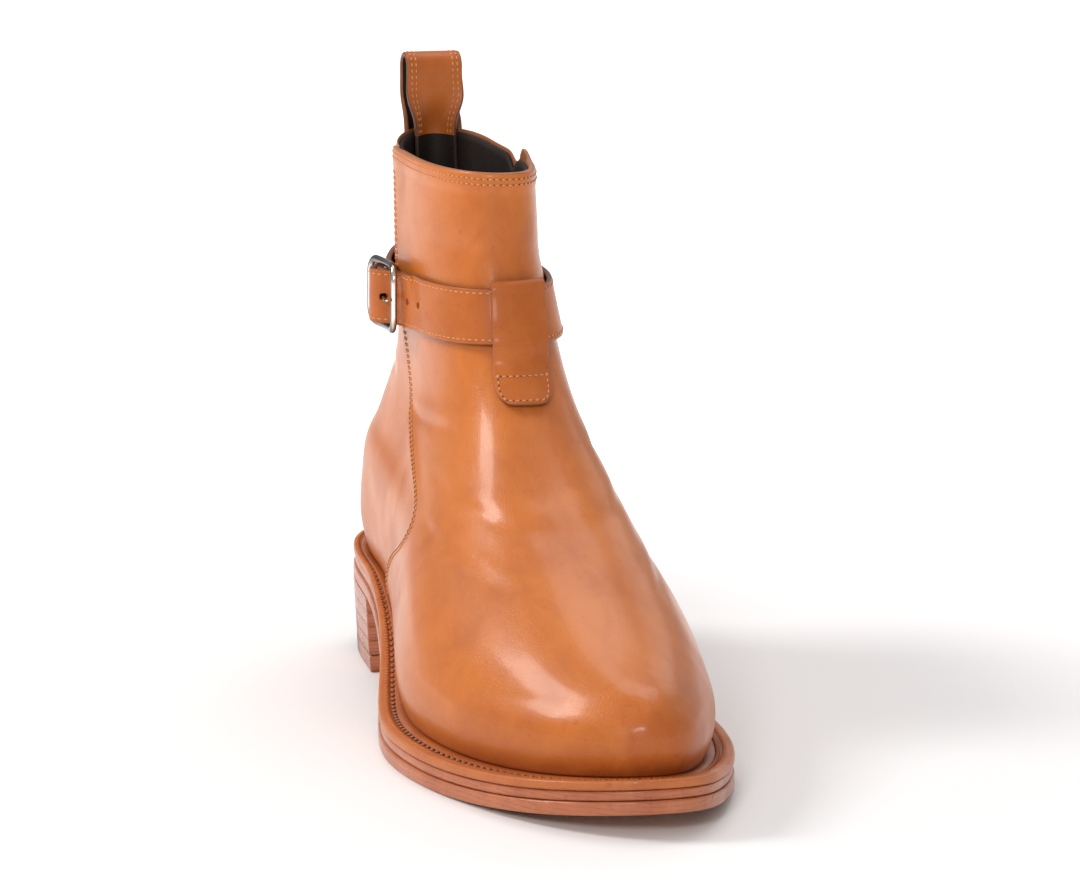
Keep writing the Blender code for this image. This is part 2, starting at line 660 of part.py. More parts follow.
def build_back_strip(materials):
    """Strip up the back with a tunnel for the strap, folded into the pull loop above the collar."""
    across = np.linspace(-0.5, 0.5, STRIP_COLUMNS) * STRIP_WIDTH
    flat = STRIP_GAP + STRIP_THICKNESS / 2
    over = STRAP_GAP + STRAP_THICKNESS + TUNNEL_GAP + STRIP_THICKNESS / 2
    low = STRAP_HEIGHT - STRAP_WIDTH / 2
    high = STRAP_HEIGHT + STRAP_WIDTH / 2
    start = float(welt_height(0.0)) + 0.0012
    collar = float(last_points(1.0, 0.0)[2])
    heights = np.concatenate([
        np.linspace(start, low - 0.0060, 9),
        (low - 0.0035, low - 0.0015),
        np.linspace(low, high, 4),
        (high + 0.0015, high + 0.0035),
        np.linspace(high + 0.0060, collar - 0.0005, 5),
    ])
    rows = []
    for height in heights:
        rise = float(rise_at(height, 0.0)[0])
        beyond = max(low - height, height - high, 0.0)
        out = flat + (over - flat) * float(ease(1 - beyond / 0.0045 + 0.25))
        angle = angle_at(rise, across, 0.0, out)
        rows.append(surface_points(np.full(STRIP_COLUMNS, rise), angle, np.full(STRIP_COLUMNS, out)))
    middle_column = STRIP_COLUMNS // 2
    curve = rows[-1][:, 0] - rows[-1][middle_column, 0]
    side = rows[-1][:, 1]
    outside = rows[-1][middle_column, 0]
    back = float(last_points(1.0, 0.0)[0])
    inside = back + WALL + STRIP_GAP + STRIP_THICKNESS / 2
    middle = (outside + inside) / 2
    radius = LOOP_DEPTH / 2
    crown = collar + LOOP_HEIGHT - radius - STRIP_THICKNESS / 2
    path = [
        (outside - 0.0002, collar + 0.0040, 0.80),
        (middle - radius, collar + 0.40 * LOOP_HEIGHT, 0.30),
        (middle - radius, collar + 0.68 * LOOP_HEIGHT, 0.15),
    ]
    for turn in np.linspace(0, math.pi, 7):
        path.append((middle - radius * math.cos(turn), crown + radius * math.sin(turn), 0.12))
    path += [
        (middle + radius, collar + 0.68 * LOOP_HEIGHT, 0.15),
        (middle + radius, collar + 0.40 * LOOP_HEIGHT, 0.40),
    ]
    for forward, height, bend in path:
        rows.append(np.column_stack([forward + curve * bend, side, np.full(STRIP_COLUMNS, height)]))
    gap = STRIP_GAP + STRIP_THICKNESS / 2
    at_wall = wall_inside(collar, across, gap)
    settling = rows[-1][:, :2] + LOOP_SETTLE * (at_wall - rows[-1][:, :2])
    rows.append(np.column_stack([settling, np.full(STRIP_COLUMNS, collar + 0.0040)]))
    for height in np.linspace(collar - 0.0005, collar - LOOP_TUCK, 5):
        rows.append(np.column_stack([wall_inside(height, across, gap), np.full(STRIP_COLUMNS, height)]))
    add_part("back_strip", ribbon(np.array(rows), STRIP_THICKNESS), materials["tan_leather"])


def buckle_frame():
    """Foot of the hinge bar on the covered leather, and the directions along, out and up there."""
    angle = np.radians(HINGE_ANGLE)
    rise = rise_at(STRAP_HEIGHT, angle)[0]
    foot = surface_points(rise, angle, PANEL_STEP)
    out = last_normals(rise, angle) * (1.0, 1.0, 0.0)
    out /= np.linalg.norm(out)
    up = np.array([0.0, 0.0, 1.0])
    along = np.cross(out, up)
    if along[0] < 0:
        along = -along
    return foot, along, out, up


def at_buckle(along, out, up=0.0):
    """A point given in metres from the hinge bar's foot."""
    foot, forward, outward, upward = buckle_frame()
    return foot + forward * along + outward * out + upward * up


def strap_levels(points):
    """Put the strap's lower edge, middle and upper edge at a local point of its middle."""
    return np.array([at_buckle(along, out, level)
                     for along, out in points for level in (-STRAP_WIDTH / 2, 0.0, STRAP_WIDTH / 2)]
                    ).reshape(-1, 3, 3)


def strap_path():
    """Control points of the strap's middle at its lower edge, middle and upper edge, from fold to tip."""
    unit = STRAP_THICKNESS
    wrap = HINGE_BAR / 2 + GAP + unit / 2
    hinge = HINGE_OUT * unit
    chape = [(row[0] * unit, row[1] * unit) for row in CHAPE_ROWS]
    for turn in np.radians((90, 55, 20, -20, -55, -90)):
        chape.append((wrap * math.cos(turn), hinge + wrap * math.sin(turn)))
    chape += [(row[0] * unit, row[1] * unit) for row in LOWER_ROWS]
    billet = [(row[0] * unit, row[1] * unit) for row in BILLET_ROWS]
    angles = np.radians(np.concatenate([
        np.arange(302, 345, 8), np.arange(345, 376, 6), np.arange(384, 610, 8)]))
    levels = []
    for level in (-STRAP_WIDTH / 2, 0.0, STRAP_WIDTH / 2):
        rise = rise_at(STRAP_HEIGHT + level, angles)
        out = STRAP_GAP + STRAP_THICKNESS / 2 + strap_cover(rise, angles)
        levels.append(surface_points(rise, angles, out))
    return np.concatenate([strap_levels(chape), np.stack(levels, 1), strap_levels(billet)])


def resample(path, spacing):
    """Points along a smooth curve through control points, close together where it bends."""
    length = np.concatenate([[0.0], np.cumsum(np.linalg.norm(np.diff(path[:, 1], axis=0), axis=1))])
    fine = np.linspace(0, length[-1], 1600)
    curve = spline(length, path, fine)
    step = np.diff(curve[:, 1], axis=0)
    heading = step / np.linalg.norm(step, axis=1, keepdims=True)
    bend = np.concatenate([[0.0], np.linalg.norm(np.diff(heading, axis=0), axis=1), [0.0]])
    weight = np.concatenate([[0.0], np.cumsum(np.linalg.norm(step, axis=1) / spacing + bend[1:] * 3.2)])
    picks = np.linspace(0, weight[-1], int(round(weight[-1])) + 1)
    return spline(length, path, np.interp(picks, weight, fine))


def build_strap(materials):
    """The one ankle strap: folded round the hinge bar, round the boot, through the buckle to a free tip."""
    centre = resample(strap_path(), 0.0052)
    length = np.linalg.norm(np.diff(centre[:, 1], axis=0), axis=1)
    to_tip = np.concatenate([np.cumsum(length[::-1])[::-1], [0.0]])
    tip = np.clip(to_tip / (0.55 * STRAP_WIDTH), 0.0, 1.0)
    narrow = 0.35 + 0.65 * np.sqrt(1 - (1 - tip) ** 2)
    middle = centre[:, 1:2]
    centre = middle + (centre - middle) * narrow[:, None, None]
    return add_part("ankle_strap", ribbon(centre, STRAP_THICKNESS), materials["tan_leather"])


def build_tab(materials):
    """Front keeper: sewn to the vamp below, up over the strap and turned in above it."""
    across = np.linspace(-0.5, 0.5, TAB_COLUMNS) * TAB_WIDTH
    flat = PANEL_STEP + TAB_GAP + TAB_THICKNESS / 2
    over = PANEL_STEP + STRAP_GAP + STRAP_THICKNESS + TUNNEL_GAP + TAB_THICKNESS / 2
    low = STRAP_HEIGHT - STRAP_WIDTH / 2
    high = STRAP_HEIGHT + STRAP_WIDTH / 2
    turn = high + TUNNEL_GAP + TAB_THICKNESS / 2
    path = [
        (TAB_BOTTOM, flat, 0.50),
        (TAB_BOTTOM + 0.0012, flat, 0.74),
        (TAB_BOTTOM + 0.0034, flat, 0.93),
        (TAB_BOTTOM + 0.0064, flat, 1.0),
        (low - 0.0058, flat + 0.0002, 1.0),
        (low - 0.0030, (flat + over) / 2, 1.0),
        (low, over, 1.0),
        (STRAP_HEIGHT, over, 1.0),
        (high - 0.0014, over, 1.0),
        (turn - 0.0006, over - 0.0003, 0.99),
        (turn, over - 0.0012, 0.96),
        (turn + 0.0001, PANEL_STEP + 0.0021, 0.94),
    ]
    rows = []
    for height, out, width in path:
        rise = float(rise_at(height, math.pi)[0])
        middle = TAB_SIDE + TAB_DRIFT * (high - height) / (high - TAB_BOTTOM)
        angle = angle_at(rise, middle + across * width, math.pi, out)
        rows.append(surface_points(np.full(TAB_COLUMNS, rise), angle, np.full(TAB_COLUMNS, out)))
    add_part("front_tab", ribbon(np.array(rows), TAB_THICKNESS), materials["tan_leather"])


def frame_out(along):
    """Distance of the buckle's side bars from the leather, at a place along the buckle."""
    unit = STRAP_THICKNESS
    clear = unit / 2 + BAR_GAP + BUCKLE_BAR / 2
    rows = np.array(BILLET_ROWS) * unit
    reach = np.linspace(-1, 1, 9) * BUCKLE_BAR * 0.6
    front = np.interp(BUCKLE_LENGTH / 2 + reach, rows[::-1, 0], rows[::-1, 1]).max() + clear
    rear = np.interp(-BUCKLE_LENGTH / 2 + reach, rows[::-1, 0], rows[::-1, 1]).max() + clear
    middle = HINGE_OUT * unit + 0.0006
    share = along / (BUCKLE_LENGTH / 2)
    return middle + (front - rear) / 2 * share + ((front + rear) / 2 - middle) * share ** 2


def build_buckle(materials):
    """Rounded frame with its hinge bar, and the prong."""
    half_long = BUCKLE_LENGTH / 2
    half_high = BUCKLE_HEIGHT / 2 - BUCKLE_BAR / 2
    path = []
    corners = ((1, 1), (-1, 1), (-1, -1), (1, -1))
    for number, (front, top) in enumerate(corners):
        for turn in np.radians(90 * number + np.linspace(0, 90, 5)):
            along = front * (half_long - BUCKLE_CORNER) + BUCKLE_CORNER * math.cos(turn)
            up = top * (half_high - BUCKLE_CORNER) + BUCKLE_CORNER * math.sin(turn)
            path.append(at_buckle(along, frame_out(along), up))
        if top == front:
            path.append(at_buckle(0.0, frame_out(0.0), top * half_high))
    frame = add_part("buckle_frame", tube(path, BUCKLE_BAR / 2, 10, closed=True), materials["nickel_metal"])
    hinge = HINGE_OUT * STRAP_THICKNESS
    bar = tube([at_buckle(0.0, hinge, -half_high), at_buckle(0.0, hinge, half_high)], HINGE_BAR / 2, 10, False)
    unite(frame, add_part("hinge_bar", bar, materials["nickel_metal"]))
    ring = (HINGE_BAR + PRONG) / 2 + GAP
    prong = []
    for turn in np.radians((-50, -90, -130, -170, 150, 120, 90)):
        prong.append(at_buckle(ring * math.cos(turn), hinge + ring * math.sin(turn)))
    rest = float(frame_out(half_long)) + (BUCKLE_BAR + PRONG) / 2 + GAP
    prong.append(at_buckle(0.30 * half_long, hinge + ring + 0.0001))
    prong.append(at_buckle(0.80 * half_long, rest))
    prong.append(at_buckle(half_long + 0.0012, rest - 0.0002))
    add_part("buckle_prong", tube(prong, PRONG / 2, 8, closed=False), materials["nickel_metal"])


def apply_boolean(part, tool, operation):
    """Apply one exact Boolean and remove its tool."""
    change = part.modifiers.new("cut", "BOOLEAN")
    change.operation = operation
    change.solver = "EXACT"
    change.object = tool
    bpy.context.view_layer.update()
    graph = bpy.context.evaluated_depsgraph_get()
    mesh = bpy.data.meshes.new_from_object(part.evaluated_get(graph))
    part.modifiers.clear()
    old = part.data
    part.data = mesh
    bpy.data.meshes.remove(old)
    mesh.name = part.name
    bpy.data.objects.remove(tool)


def unite(part, tool):
    """Join another solid to a part."""
    apply_boolean(part, tool, "UNION")


def cut(part, tool):
    """Take another solid out of a part."""
    apply_boolean(part, tool, "DIFFERENCE")


def cut_strap(strap, materials):
    """Slot for the prong in the folded end, and the holes of the free end."""
    hinge = HINGE_OUT * STRAP_THICKNESS
    ring = (HINGE_BAR + PRONG) / 2 + GAP
    reach = ring + PRONG / 2 + GAP
    half = PRONG / 2 + GAP
    box = []
    for up in (-half, half):
        for along, out in ((-reach, -reach), (reach, -reach), (reach, reach), (-reach, reach)):
            box.append(at_buckle(along, hinge + out, up))
    faces = [(0, 1, 2, 3), (7, 6, 5, 4), (0, 4, 5, 1), (1, 5, 6, 2), (2, 6, 7, 3), (3, 7, 4, 0)]
    cut(strap, add_part("slot", (np.array(box), faces), materials["tan_leather"]))
    level = hinge + ring + 0.0001
    pin = tube([at_buckle(0.0010, level), at_buckle(0.0125, level)], half, 10, False)
    cut(strap, add_part("pin", pin, materials["tan_leather"]))
    for number in range(2):
        along = BUCKLE_LENGTH / 2 + 0.0040 + number * HOLE_PITCH
        drill = tube([at_buckle(along, -0.0003), at_buckle(along, 0.0090)], HOLE_DIAMETER / 2, 10, False)
        cut(strap, add_part("drill", drill, materials["tan_leather"]))


def build():
    """Clear the scene and build every part."""
    for old in list(bpy.data.objects):
        bpy.data.objects.remove(old)
    materials = {name: make_material(name) for name in MATERIALS}
    build_sole(materials)
    build_heel(materials)
    build_upper(materials)
    build_back_strip(materials)
    strap = build_strap(materials)
    cut_strap(strap, materials)
    build_tab(materials)
    build_buckle(materials)
    for part in bpy.data.objects:
        part.data.set_sharp_from_angle(angle=math.radians(SHARP_ANGLE))


build()
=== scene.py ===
"""Dressed jodhpur boot: burnished leather, stitching, welt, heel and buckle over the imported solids."""

import math

import bmesh
import bpy
import numpy as np
from mathutils import Matrix, Vector


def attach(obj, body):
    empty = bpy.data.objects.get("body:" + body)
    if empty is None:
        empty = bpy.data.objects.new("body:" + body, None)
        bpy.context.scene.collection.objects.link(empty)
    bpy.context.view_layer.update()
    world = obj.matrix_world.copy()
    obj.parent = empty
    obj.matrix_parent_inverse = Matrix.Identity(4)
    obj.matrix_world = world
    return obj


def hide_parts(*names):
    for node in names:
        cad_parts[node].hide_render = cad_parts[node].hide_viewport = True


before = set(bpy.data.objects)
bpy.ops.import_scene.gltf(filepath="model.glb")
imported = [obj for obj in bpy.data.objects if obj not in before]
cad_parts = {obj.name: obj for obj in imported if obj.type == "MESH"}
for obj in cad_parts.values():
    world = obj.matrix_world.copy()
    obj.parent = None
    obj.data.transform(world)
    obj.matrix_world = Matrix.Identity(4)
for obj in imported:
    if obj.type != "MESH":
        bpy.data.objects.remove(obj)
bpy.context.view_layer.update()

TURN = 2 * math.pi

# Overall sizes, metres; the last one is the share of the length over which the leg's back is rounded
LAST_LENGTH = 0.289
BALL_WIDTH = 0.091
TOE_OFFSET = 0.004
SHAFT_HEIGHT = 0.1475
SHAFT_WIDTH = 0.050
SHAFT_LEAN = 0.0052
HEEL_CENTRE = 0.040
LEG_ROUND = 0.19

# Sole, metres
HEEL_HEIGHT = 0.0270
HEEL_LENGTH = 0.066
SEAT_RISE = 0.0018
ARCH_END = 0.170
TOE_SPRING_START = 0.215
TOE_SPRING = 0.0065
OUTSOLE_THICKNESS = 0.0046
MIDSOLE_THICKNESS = 0.0030
WELT_THICKNESS = 0.0032
WELT_REACH_HEEL = 0.0025
WELT_REACH_TOE = 0.0080
MIDSOLE_INSET = 0.0006
TOP_PIECE_THICKNESS = 0.0062
HEEL_LIFTS = 4
HEEL_TAPER = 0.0016
RUBBER_LENGTH = 0.034
GAP = 0.0003
EDGE_ROUND = 0.0008
CHANNEL_INSET = 0.0090
CHANNEL_WIDTH = 0.0012
CHANNEL_DEPTH = 0.0005

# Upper, metres; an ear stands beside the notch in the panel's top edge. The last three are rough lengths:
# of the whole rise, at the collar and for the folds, and of one radian of ring angle for the folds
WALL = 0.0022
LINING = 0.0009
PANEL_STEP = 0.0014
PANEL_FLARE = 0.0012
PANEL_LAP = 0.012
NOTCH_DEPTH = 0.0045
CORNER_DROP = 0.0020
CORNER_REACH = 0.0022
EAR_RISE = 0.0022
EAR_START = 0.0035
EAR_FLAT = 0.006
EAR_FALL = 0.012
SHEET_EDGE = 0.0008
COLLAR_EDGE = 0.0009
COLLAR_BAND = 0.00028
WELT_SEAT = 0.0002
COLLAR_SPAN = 0.15
FOLD_RISE = 0.34
FOLD_RADIAN = 0.045

# Strips and strap, metres; the cut edge says how far in its colour starts to fade and over what distance
STRIP_WIDTH = 0.0205
STRIP_THICKNESS = 0.0016
STRIP_GAP = 0.0005
LOOP_HEIGHT = 0.0275
LOOP_DEPTH = 0.0096
LOOP_TUCK = 0.0200
LOOP_SETTLE = 0.80
STRAP_HEIGHT = 0.1385
STRAP_WIDTH = 0.0190
STRAP_THICKNESS = 0.0020
STRAP_GAP = 0.0007
TUNNEL_GAP = 0.0007
HOLE_DIAMETER = 0.0024
HOLE_PITCH = 0.0080
TAB_WIDTH = 0.0195
TAB_BOTTOM = 0.1100
TAB_THICKNESS = 0.0018
TAB_SIDE = -0.0010
TAB_DRIFT = -0.0020
TAB_GAP = 0.0007
TAB_CORNER = 0.0052
STRIP_EDGE = 0.0006
CUT_EDGE = (0.00005, 0.00035)
STRAP_LOW = STRAP_HEIGHT - STRAP_WIDTH / 2
STRAP_HIGH = STRAP_HEIGHT + STRAP_WIDTH / 2

# Buckle, metres
BUCKLE_LENGTH = 0.0270
BUCKLE_HEIGHT = 0.0250
BUCKLE_BAR = 0.0028
BUCKLE_CORNER = 0.0050
HINGE_BAR = 0.0024
PRONG = 0.0020
BAR_GAP = 0.0010
HINGE_ANGLE = 269.0
HINGE_OUT = 2.95

# Stitches, metres: pitch, length, width and height of one stitch
FINE_STITCH = (0.0022, 0.0016, 0.00058, 0.00054)
STRAP_STITCH = (0.0025, 0.0018, 0.00058, 0.00054)
WELT_STITCH = (0.0034, 0.0024, 0.00165, 0.00110)
SOLE_STITCH = (0.0036, 0.0024, 0.00085, 0.00060)
WHEEL_PITCH = 0.0018
NAIL_RADIUS = 0.00085

# Places of the sewn rows: metres in from the panel's edge, shares of the rise at the collar, shares across
# the strap and the back strip, and, across the back strip, heights beside the strap and from the collar
PANEL_SEAMS = (0.0020, 0.0042)
COLLAR_SEAMS = (0.9895, 0.9805)
STRAP_SEAMS = (0.085, 0.915)
STRIP_SEAMS = (0.085, 0.165, 0.835, 0.915)
CROSS_SEAMS = (STRAP_LOW - 0.0080, STRAP_LOW - 0.0062, STRAP_HIGH + 0.0062, STRAP_HIGH + 0.0080)
COLLAR_CROSS_SEAMS = (-0.0065, -0.0045)

# Rows on the welt and under the sole: shares of the way in from the welt's edge, a wheel mark's sizes, the
# ring angle where the channel starts, the nails' distance from the top piece's ends, half their row and their
# number
WELT_SEAM = 0.59
WHEEL_LINE = 0.34
WHEEL_MARK = (WHEEL_PITCH, 0.00115, 0.0019, 0.00045)
CHANNEL_START = 1.10
NAIL_INSET = 0.006
NAIL_ROW = 0.022
NAILS = 5

# Reflection level of every burnished surface, and the darker colour: strength and reach in metres along seams
# and up from the welt, partly burnished colour and partly painted shade where the parts meet; the deeper
# dye's strength, place and reach at the toe, and its strength and reach along a strip's edges
LEATHER_SPECULAR = 0.22
SEAM_DYE_AND_SHADE = (0.30, 0.0022)
WELT_DYE_AND_SHADE = (0.45, 0.0035)
TOE_DYE = (0.22, 0.285, 0.020)
STRIP_DYE = (0.30, 0.0012)

# Camera fitted to the photograph, framing the one boot
CAMERA_PLACE = (-0.45804, -1.72836, 0.44004)
CAMERA_AIM = (0.00190, -0.11199, 0.09875)
CAMERA_ROLL = 0.477
CAMERA_LENS = 168.9

# Light: softboxes aimed at the boot's middle, with their place, size, watts and colour, the pale surround,
# and the floor's own glow, which grows between two distances from the boot
BOOT_MIDDLE = (0.0, -0.10, 0.07)
LIGHT_ROWS = (
    ("key", (-0.95, -1.75, 1.05), (0.42, 0.42), 14.0, (1.0, 0.985, 0.97)),
    ("left", (-1.15, 0.40, 1.30), (0.48, 0.48), 15.5, (1.0, 0.99, 0.98)),
    ("right", (1.10, 0.95, 1.05), (0.8, 0.8), 2.6, (1.0, 0.99, 0.98)),
    ("top", (0.25, 0.45, 1.75), (0.9, 0.8), 8.5, (1.0, 1.0, 1.0)),
)
SURROUND = 0.48
FLOOR_GLOW = 0.60
GLOW_FROM = 0.18
GLOW_TO = 0.50

STACK = OUTSOLE_THICKNESS + MIDSOLE_THICKNESS + WELT_THICKNESS + 2 * GAP

# Plan of the last: share of the length, half widths inside and outside as shares of the ball width
PLAN_COLUMNS = ("along", "inside", "outside")
PLAN_ROWS = (
    (0.05, 0.262, 0.272),
    (0.16, 0.352, 0.362),
    (0.40, 0.335, 0.430),
    (0.64, 0.462, 0.568),
    (0.82, 0.402, 0.465),
    (0.94, 0.245, 0.262),
)

# Rings of the upper from the feather line to the collar, as in the solids: places along the last, heights
# above the welt, crest's side, share of the sole's curve, share of the foot's plan, its scale, the leg's half
# width and the distance over which the crest rounds off
RING_ROWS = (
    (0.017, 0.000, 0.982, 0.000, 0.040, 1.00, 1.00, 0.940, 0.60, 0.085),
    (0.002, 0.075, 1.000, 0.070, 0.040, 1.00, 1.00, 1.000, 0.60, 0.082),
    (0.000, 0.163, 0.980, 0.150, 0.040, 0.85, 0.97, 0.995, 0.60, 0.086),
    (0.006, 0.256, 0.916, 0.220, 0.040, 0.60, 0.88, 0.985, 0.58, 0.106),
    (0.022, 0.330, 0.785, 0.345, 0.045, 0.22, 0.58, 0.985, 0.53, 0.160),
    (0.036, 0.396, 0.668, 0.459, 0.036, 0.05, 0.40, 0.990, 0.49, 0.185),
    (0.049, 0.467, 0.580, 0.579, 0.016, 0.00, 0.24, 0.990, 0.45, 0.190),
    (0.055, 0.561, 0.502, 0.693, 0.000, 0.00, 0.08, 0.990, 0.43, 0.190),
    (0.054, 0.691, 0.458, 0.822, 0.005, 0.00, 0.00, 1.000, 0.43, 0.180),
    (0.045, 0.841, 0.440, 0.960, 0.020, 0.00, 0.00, 1.000, 0.39, 0.175),
    (0.032, 1.000, 0.432, 1.128, 0.030, 0.00, 0.00, 1.000, 0.37, 0.175),
)

# Edge of the front panel: share of the rise, ring angle in degrees on the inside and on the outside
EDGE_COLUMNS = ("rise", "inside", "outside")
EDGE_ROWS = (
    (0.00, 70.0, 292.0),
    (0.10, 74.0, 287.0),
    (0.20, 84.0, 275.0),
    (0.32, 95.0, 265.0),
    (0.45, 92.0, 268.0),
    (0.65, 88.0, 276.0),
    (0.80, 92.0, 279.0),
    (1.00, 104.0, 288.0),
)

# Soft folds of the upper: share of the rise and ring angle of both ends, half width and depth in metres
FOLD_COLUMNS = ("rise_a", "angle_a", "rise_b", "angle_b", "half_width", "depth")
FOLD_ROWS = (
    (0.455, 128.0, 0.440, 170.0, 0.0060, 0.00030),
    (0.425, 190.0, 0.445, 238.0, 0.0062, 0.00032),
    (0.560, 232.0, 0.535, 262.0, 0.0045, 0.00040),
    (0.555, 100.0, 0.530, 132.0, 0.0048, 0.00045),
    (0.330, 112.0, 0.300, 140.0, 0.0060, 0.00035),
    (0.310, 222.0, 0.335, 250.0, 0.0060, 0.00035),
    (0.560, 305.0, 0.545, 340.0, 0.0050, 0.00040),
    (0.560, 22.0, 0.545, 60.0, 0.0050, 0.00040),
    (0.840, 140.0, 0.870, 205.0, 0.0110, 0.00040),
)

# Path of the strap at the buckle from the hinge bar's foot: along and out, in strap thicknesses
CHAPE_ROWS = ((-5.3, 2.05), (-4.4, 2.15), (-3.2, 2.70), (-1.8, 3.60))
LOWER_ROWS = ((-2.0, 1.35), (-4.0, 0.92), (-6.0, 0.82))
BILLET_ROWS = (
    (9.3, 0.95), (6.8, 1.45), (4.4, 2.15), (2.8, 3.30), (2.3, 4.30), (1.3, 5.20), (0.0, 5.55),
    (-2.0, 4.95), (-4.0, 3.65), (-6.0, 2.55), (-8.0, 2.20), (-10.5, 2.15), (-12.5, 2.35),
)


def column(rows, names, name):
    """One named column of a table as an array."""
    return np.array([row[names.index(name)] for row in rows], float)


def ease(t):
    """Smooth step between 0 and 1."""
    t = np.clip(t, 0.0, 1.0)
    return t * t * (3.0 - 2.0 * t)


def spline(knots, values, at):
    """Natural cubic spline through a table of values, evaluated at the given places."""
    knots = np.asarray(knots, float)
    values = np.asarray(values, float)
    at = np.asarray(at, float)
    count = len(knots)
    step = np.diff(knots)
    slope = np.diff(values, axis=0) / step.reshape((-1,) + (1,) * (values.ndim - 1))
    matrix = np.eye(count)
    right = np.zeros((count,) + values.shape[1:])
    for i in range(1, count - 1):
        matrix[i, i - 1:i + 2] = step[i - 1], 2 * (step[i - 1] + step[i]), step[i]
        right[i] = 6 * (slope[i] - slope[i - 1])
    bend = np.linalg.solve(matrix, right.reshape(count, -1)).reshape(right.shape)
    k = np.clip(np.searchsorted(knots, at) - 1, 0, count - 2)
    extra = at.shape + (1,) * (values.ndim - 1)
    d = (at - knots[k]).reshape(extra)
    h = step[k].reshape(extra)
    linear = values[k] + d * (slope[k] - h * (2 * bend[k] + bend[k + 1]) / 6)
    return linear + d ** 2 * bend[k] / 2 + d ** 3 * (bend[k + 1] - bend[k]) / (6 * h)


def bottom_height(forward):
    """Height of the outsole's underside above the floor."""
    forward = np.asarray(forward, float)
    seat = HEEL_HEIGHT + SEAT_RISE * (1 - forward / HEEL_LENGTH)
    arch = seat * (1 - ease((forward - HEEL_LENGTH + 0.004) / (ARCH_END - HEEL_LENGTH + 0.004)))
    spring = np.clip((forward - TOE_SPRING_START) / (LAST_LENGTH - TOE_SPRING_START), 0.0, None)
    return arch + TOE_SPRING * spring ** 2


def welt_height(forward):
    """Height of the welt's top face."""
    return bottom_height(forward) + STACK


def plan_side(along, side):
    """Distance of the last's outline from its axis at a share of the length, with its sign."""
    angle = np.arccos(1 - 2 * np.clip(along, 0.0, 1.0))
    angle = np.where(side > 0, angle, TURN - angle)
    knots = np.arccos(1 - 2 * column(PLAN_ROWS, PLAN_COLUMNS, "along"))
    inside = column(PLAN_ROWS, PLAN_COLUMNS, "inside") * BALL_WIDTH
    outside = column(PLAN_ROWS, PLAN_COLUMNS, "outside") * BALL_WIDTH
    ring = np.concatenate([[0.0], knots, [math.pi], TURN - knots[::-1]])
    value = np.concatenate([[0.0], inside, [TOE_OFFSET], -outside[::-1]])
    turns = np.concatenate([ring - TURN, ring, ring + TURN])
    return spline(turns, np.tile(value, 3), angle)


def ring_table():
    """The rings' rows in metres, and the share of the rise at which each one stands."""
    rows = []
    for back, back_lift, front, front_lift, ridge, follow, foot, width, shaft, crown in RING_ROWS:
        back_at = back * LAST_LENGTH
        front_at = front * LAST_LENGTH
        back_z = welt_height(back_at) + back_lift * SHAFT_HEIGHT
        front_z = welt_height(front_at) + front_lift * SHAFT_HEIGHT
        rows.append((back_at, back_z, front_at, front_z, ridge * BALL_WIDTH, follow, foot, width,
                     shaft * SHAFT_WIDTH, crown * LAST_LENGTH))
    table = np.array(rows)
    back_step = np.linalg.norm(np.diff(table[:, 0:2], axis=0), axis=1)
    front_step = np.linalg.norm(np.diff(table[:, 2:4], axis=0), axis=1)
    rise = np.concatenate([[0.0], np.cumsum(back_step + front_step)])
    return rise / rise[-1], table


RING_RISE, RING_TABLE = ring_table()
CREST_STEPS = 1600
CREST_COARSE = 8
CREST = spline(RING_RISE, RING_TABLE, np.linspace(RING_RISE[1], 1.0, CREST_STEPS))


def round_off(share, power=2.3):
    """Half width, as a share of the full one, at a share of the way in from a rounded edge."""
    return (1 - (1 - np.clip(share, 0.0, 1.0)) ** power) ** (1 / power)


def crest_distance(forward, height):
    """Distance of places in side view from the crest's line, and the crown's width at the nearest place."""
    place = np.stack([forward, height], -1)
    coarse = CREST[::CREST_COARSE, 2:4]
    nearest = np.empty(len(place), int)
    for start in range(0, len(place), 20000):
        part = slice(start, start + 20000)
        toward = ((coarse[None, :, :] - place[part, None, :]) ** 2).sum(-1)
        nearest[part] = toward.argmin(1) * CREST_COARSE
    window = nearest[:, None] + np.arange(-CREST_COARSE, CREST_COARSE + 1)
    window = np.clip(window, 0, CREST_STEPS - 1)
    toward = ((CREST[window, 2:4] - place[:, None, :]) ** 2).sum(-1)
    nearest = window[np.arange(len(place)), toward.argmin(1)]
    distance = np.sqrt(toward.min(1))
    for step in (-1, 1):
        other = np.clip(nearest + step, 0, CREST_STEPS - 1)
        along = CREST[other, 2:4] - CREST[nearest, 2:4]
        from_point = place - CREST[nearest, 2:4]
        share = (from_point * along).sum(-1) / np.maximum((along ** 2).sum(-1), 1e-12)
        gap = from_point - along * np.clip(share, 0.0, 1.0)[:, None]
        distance = np.minimum(distance, np.linalg.norm(gap, axis=-1))
    return distance, CREST[nearest, 9]


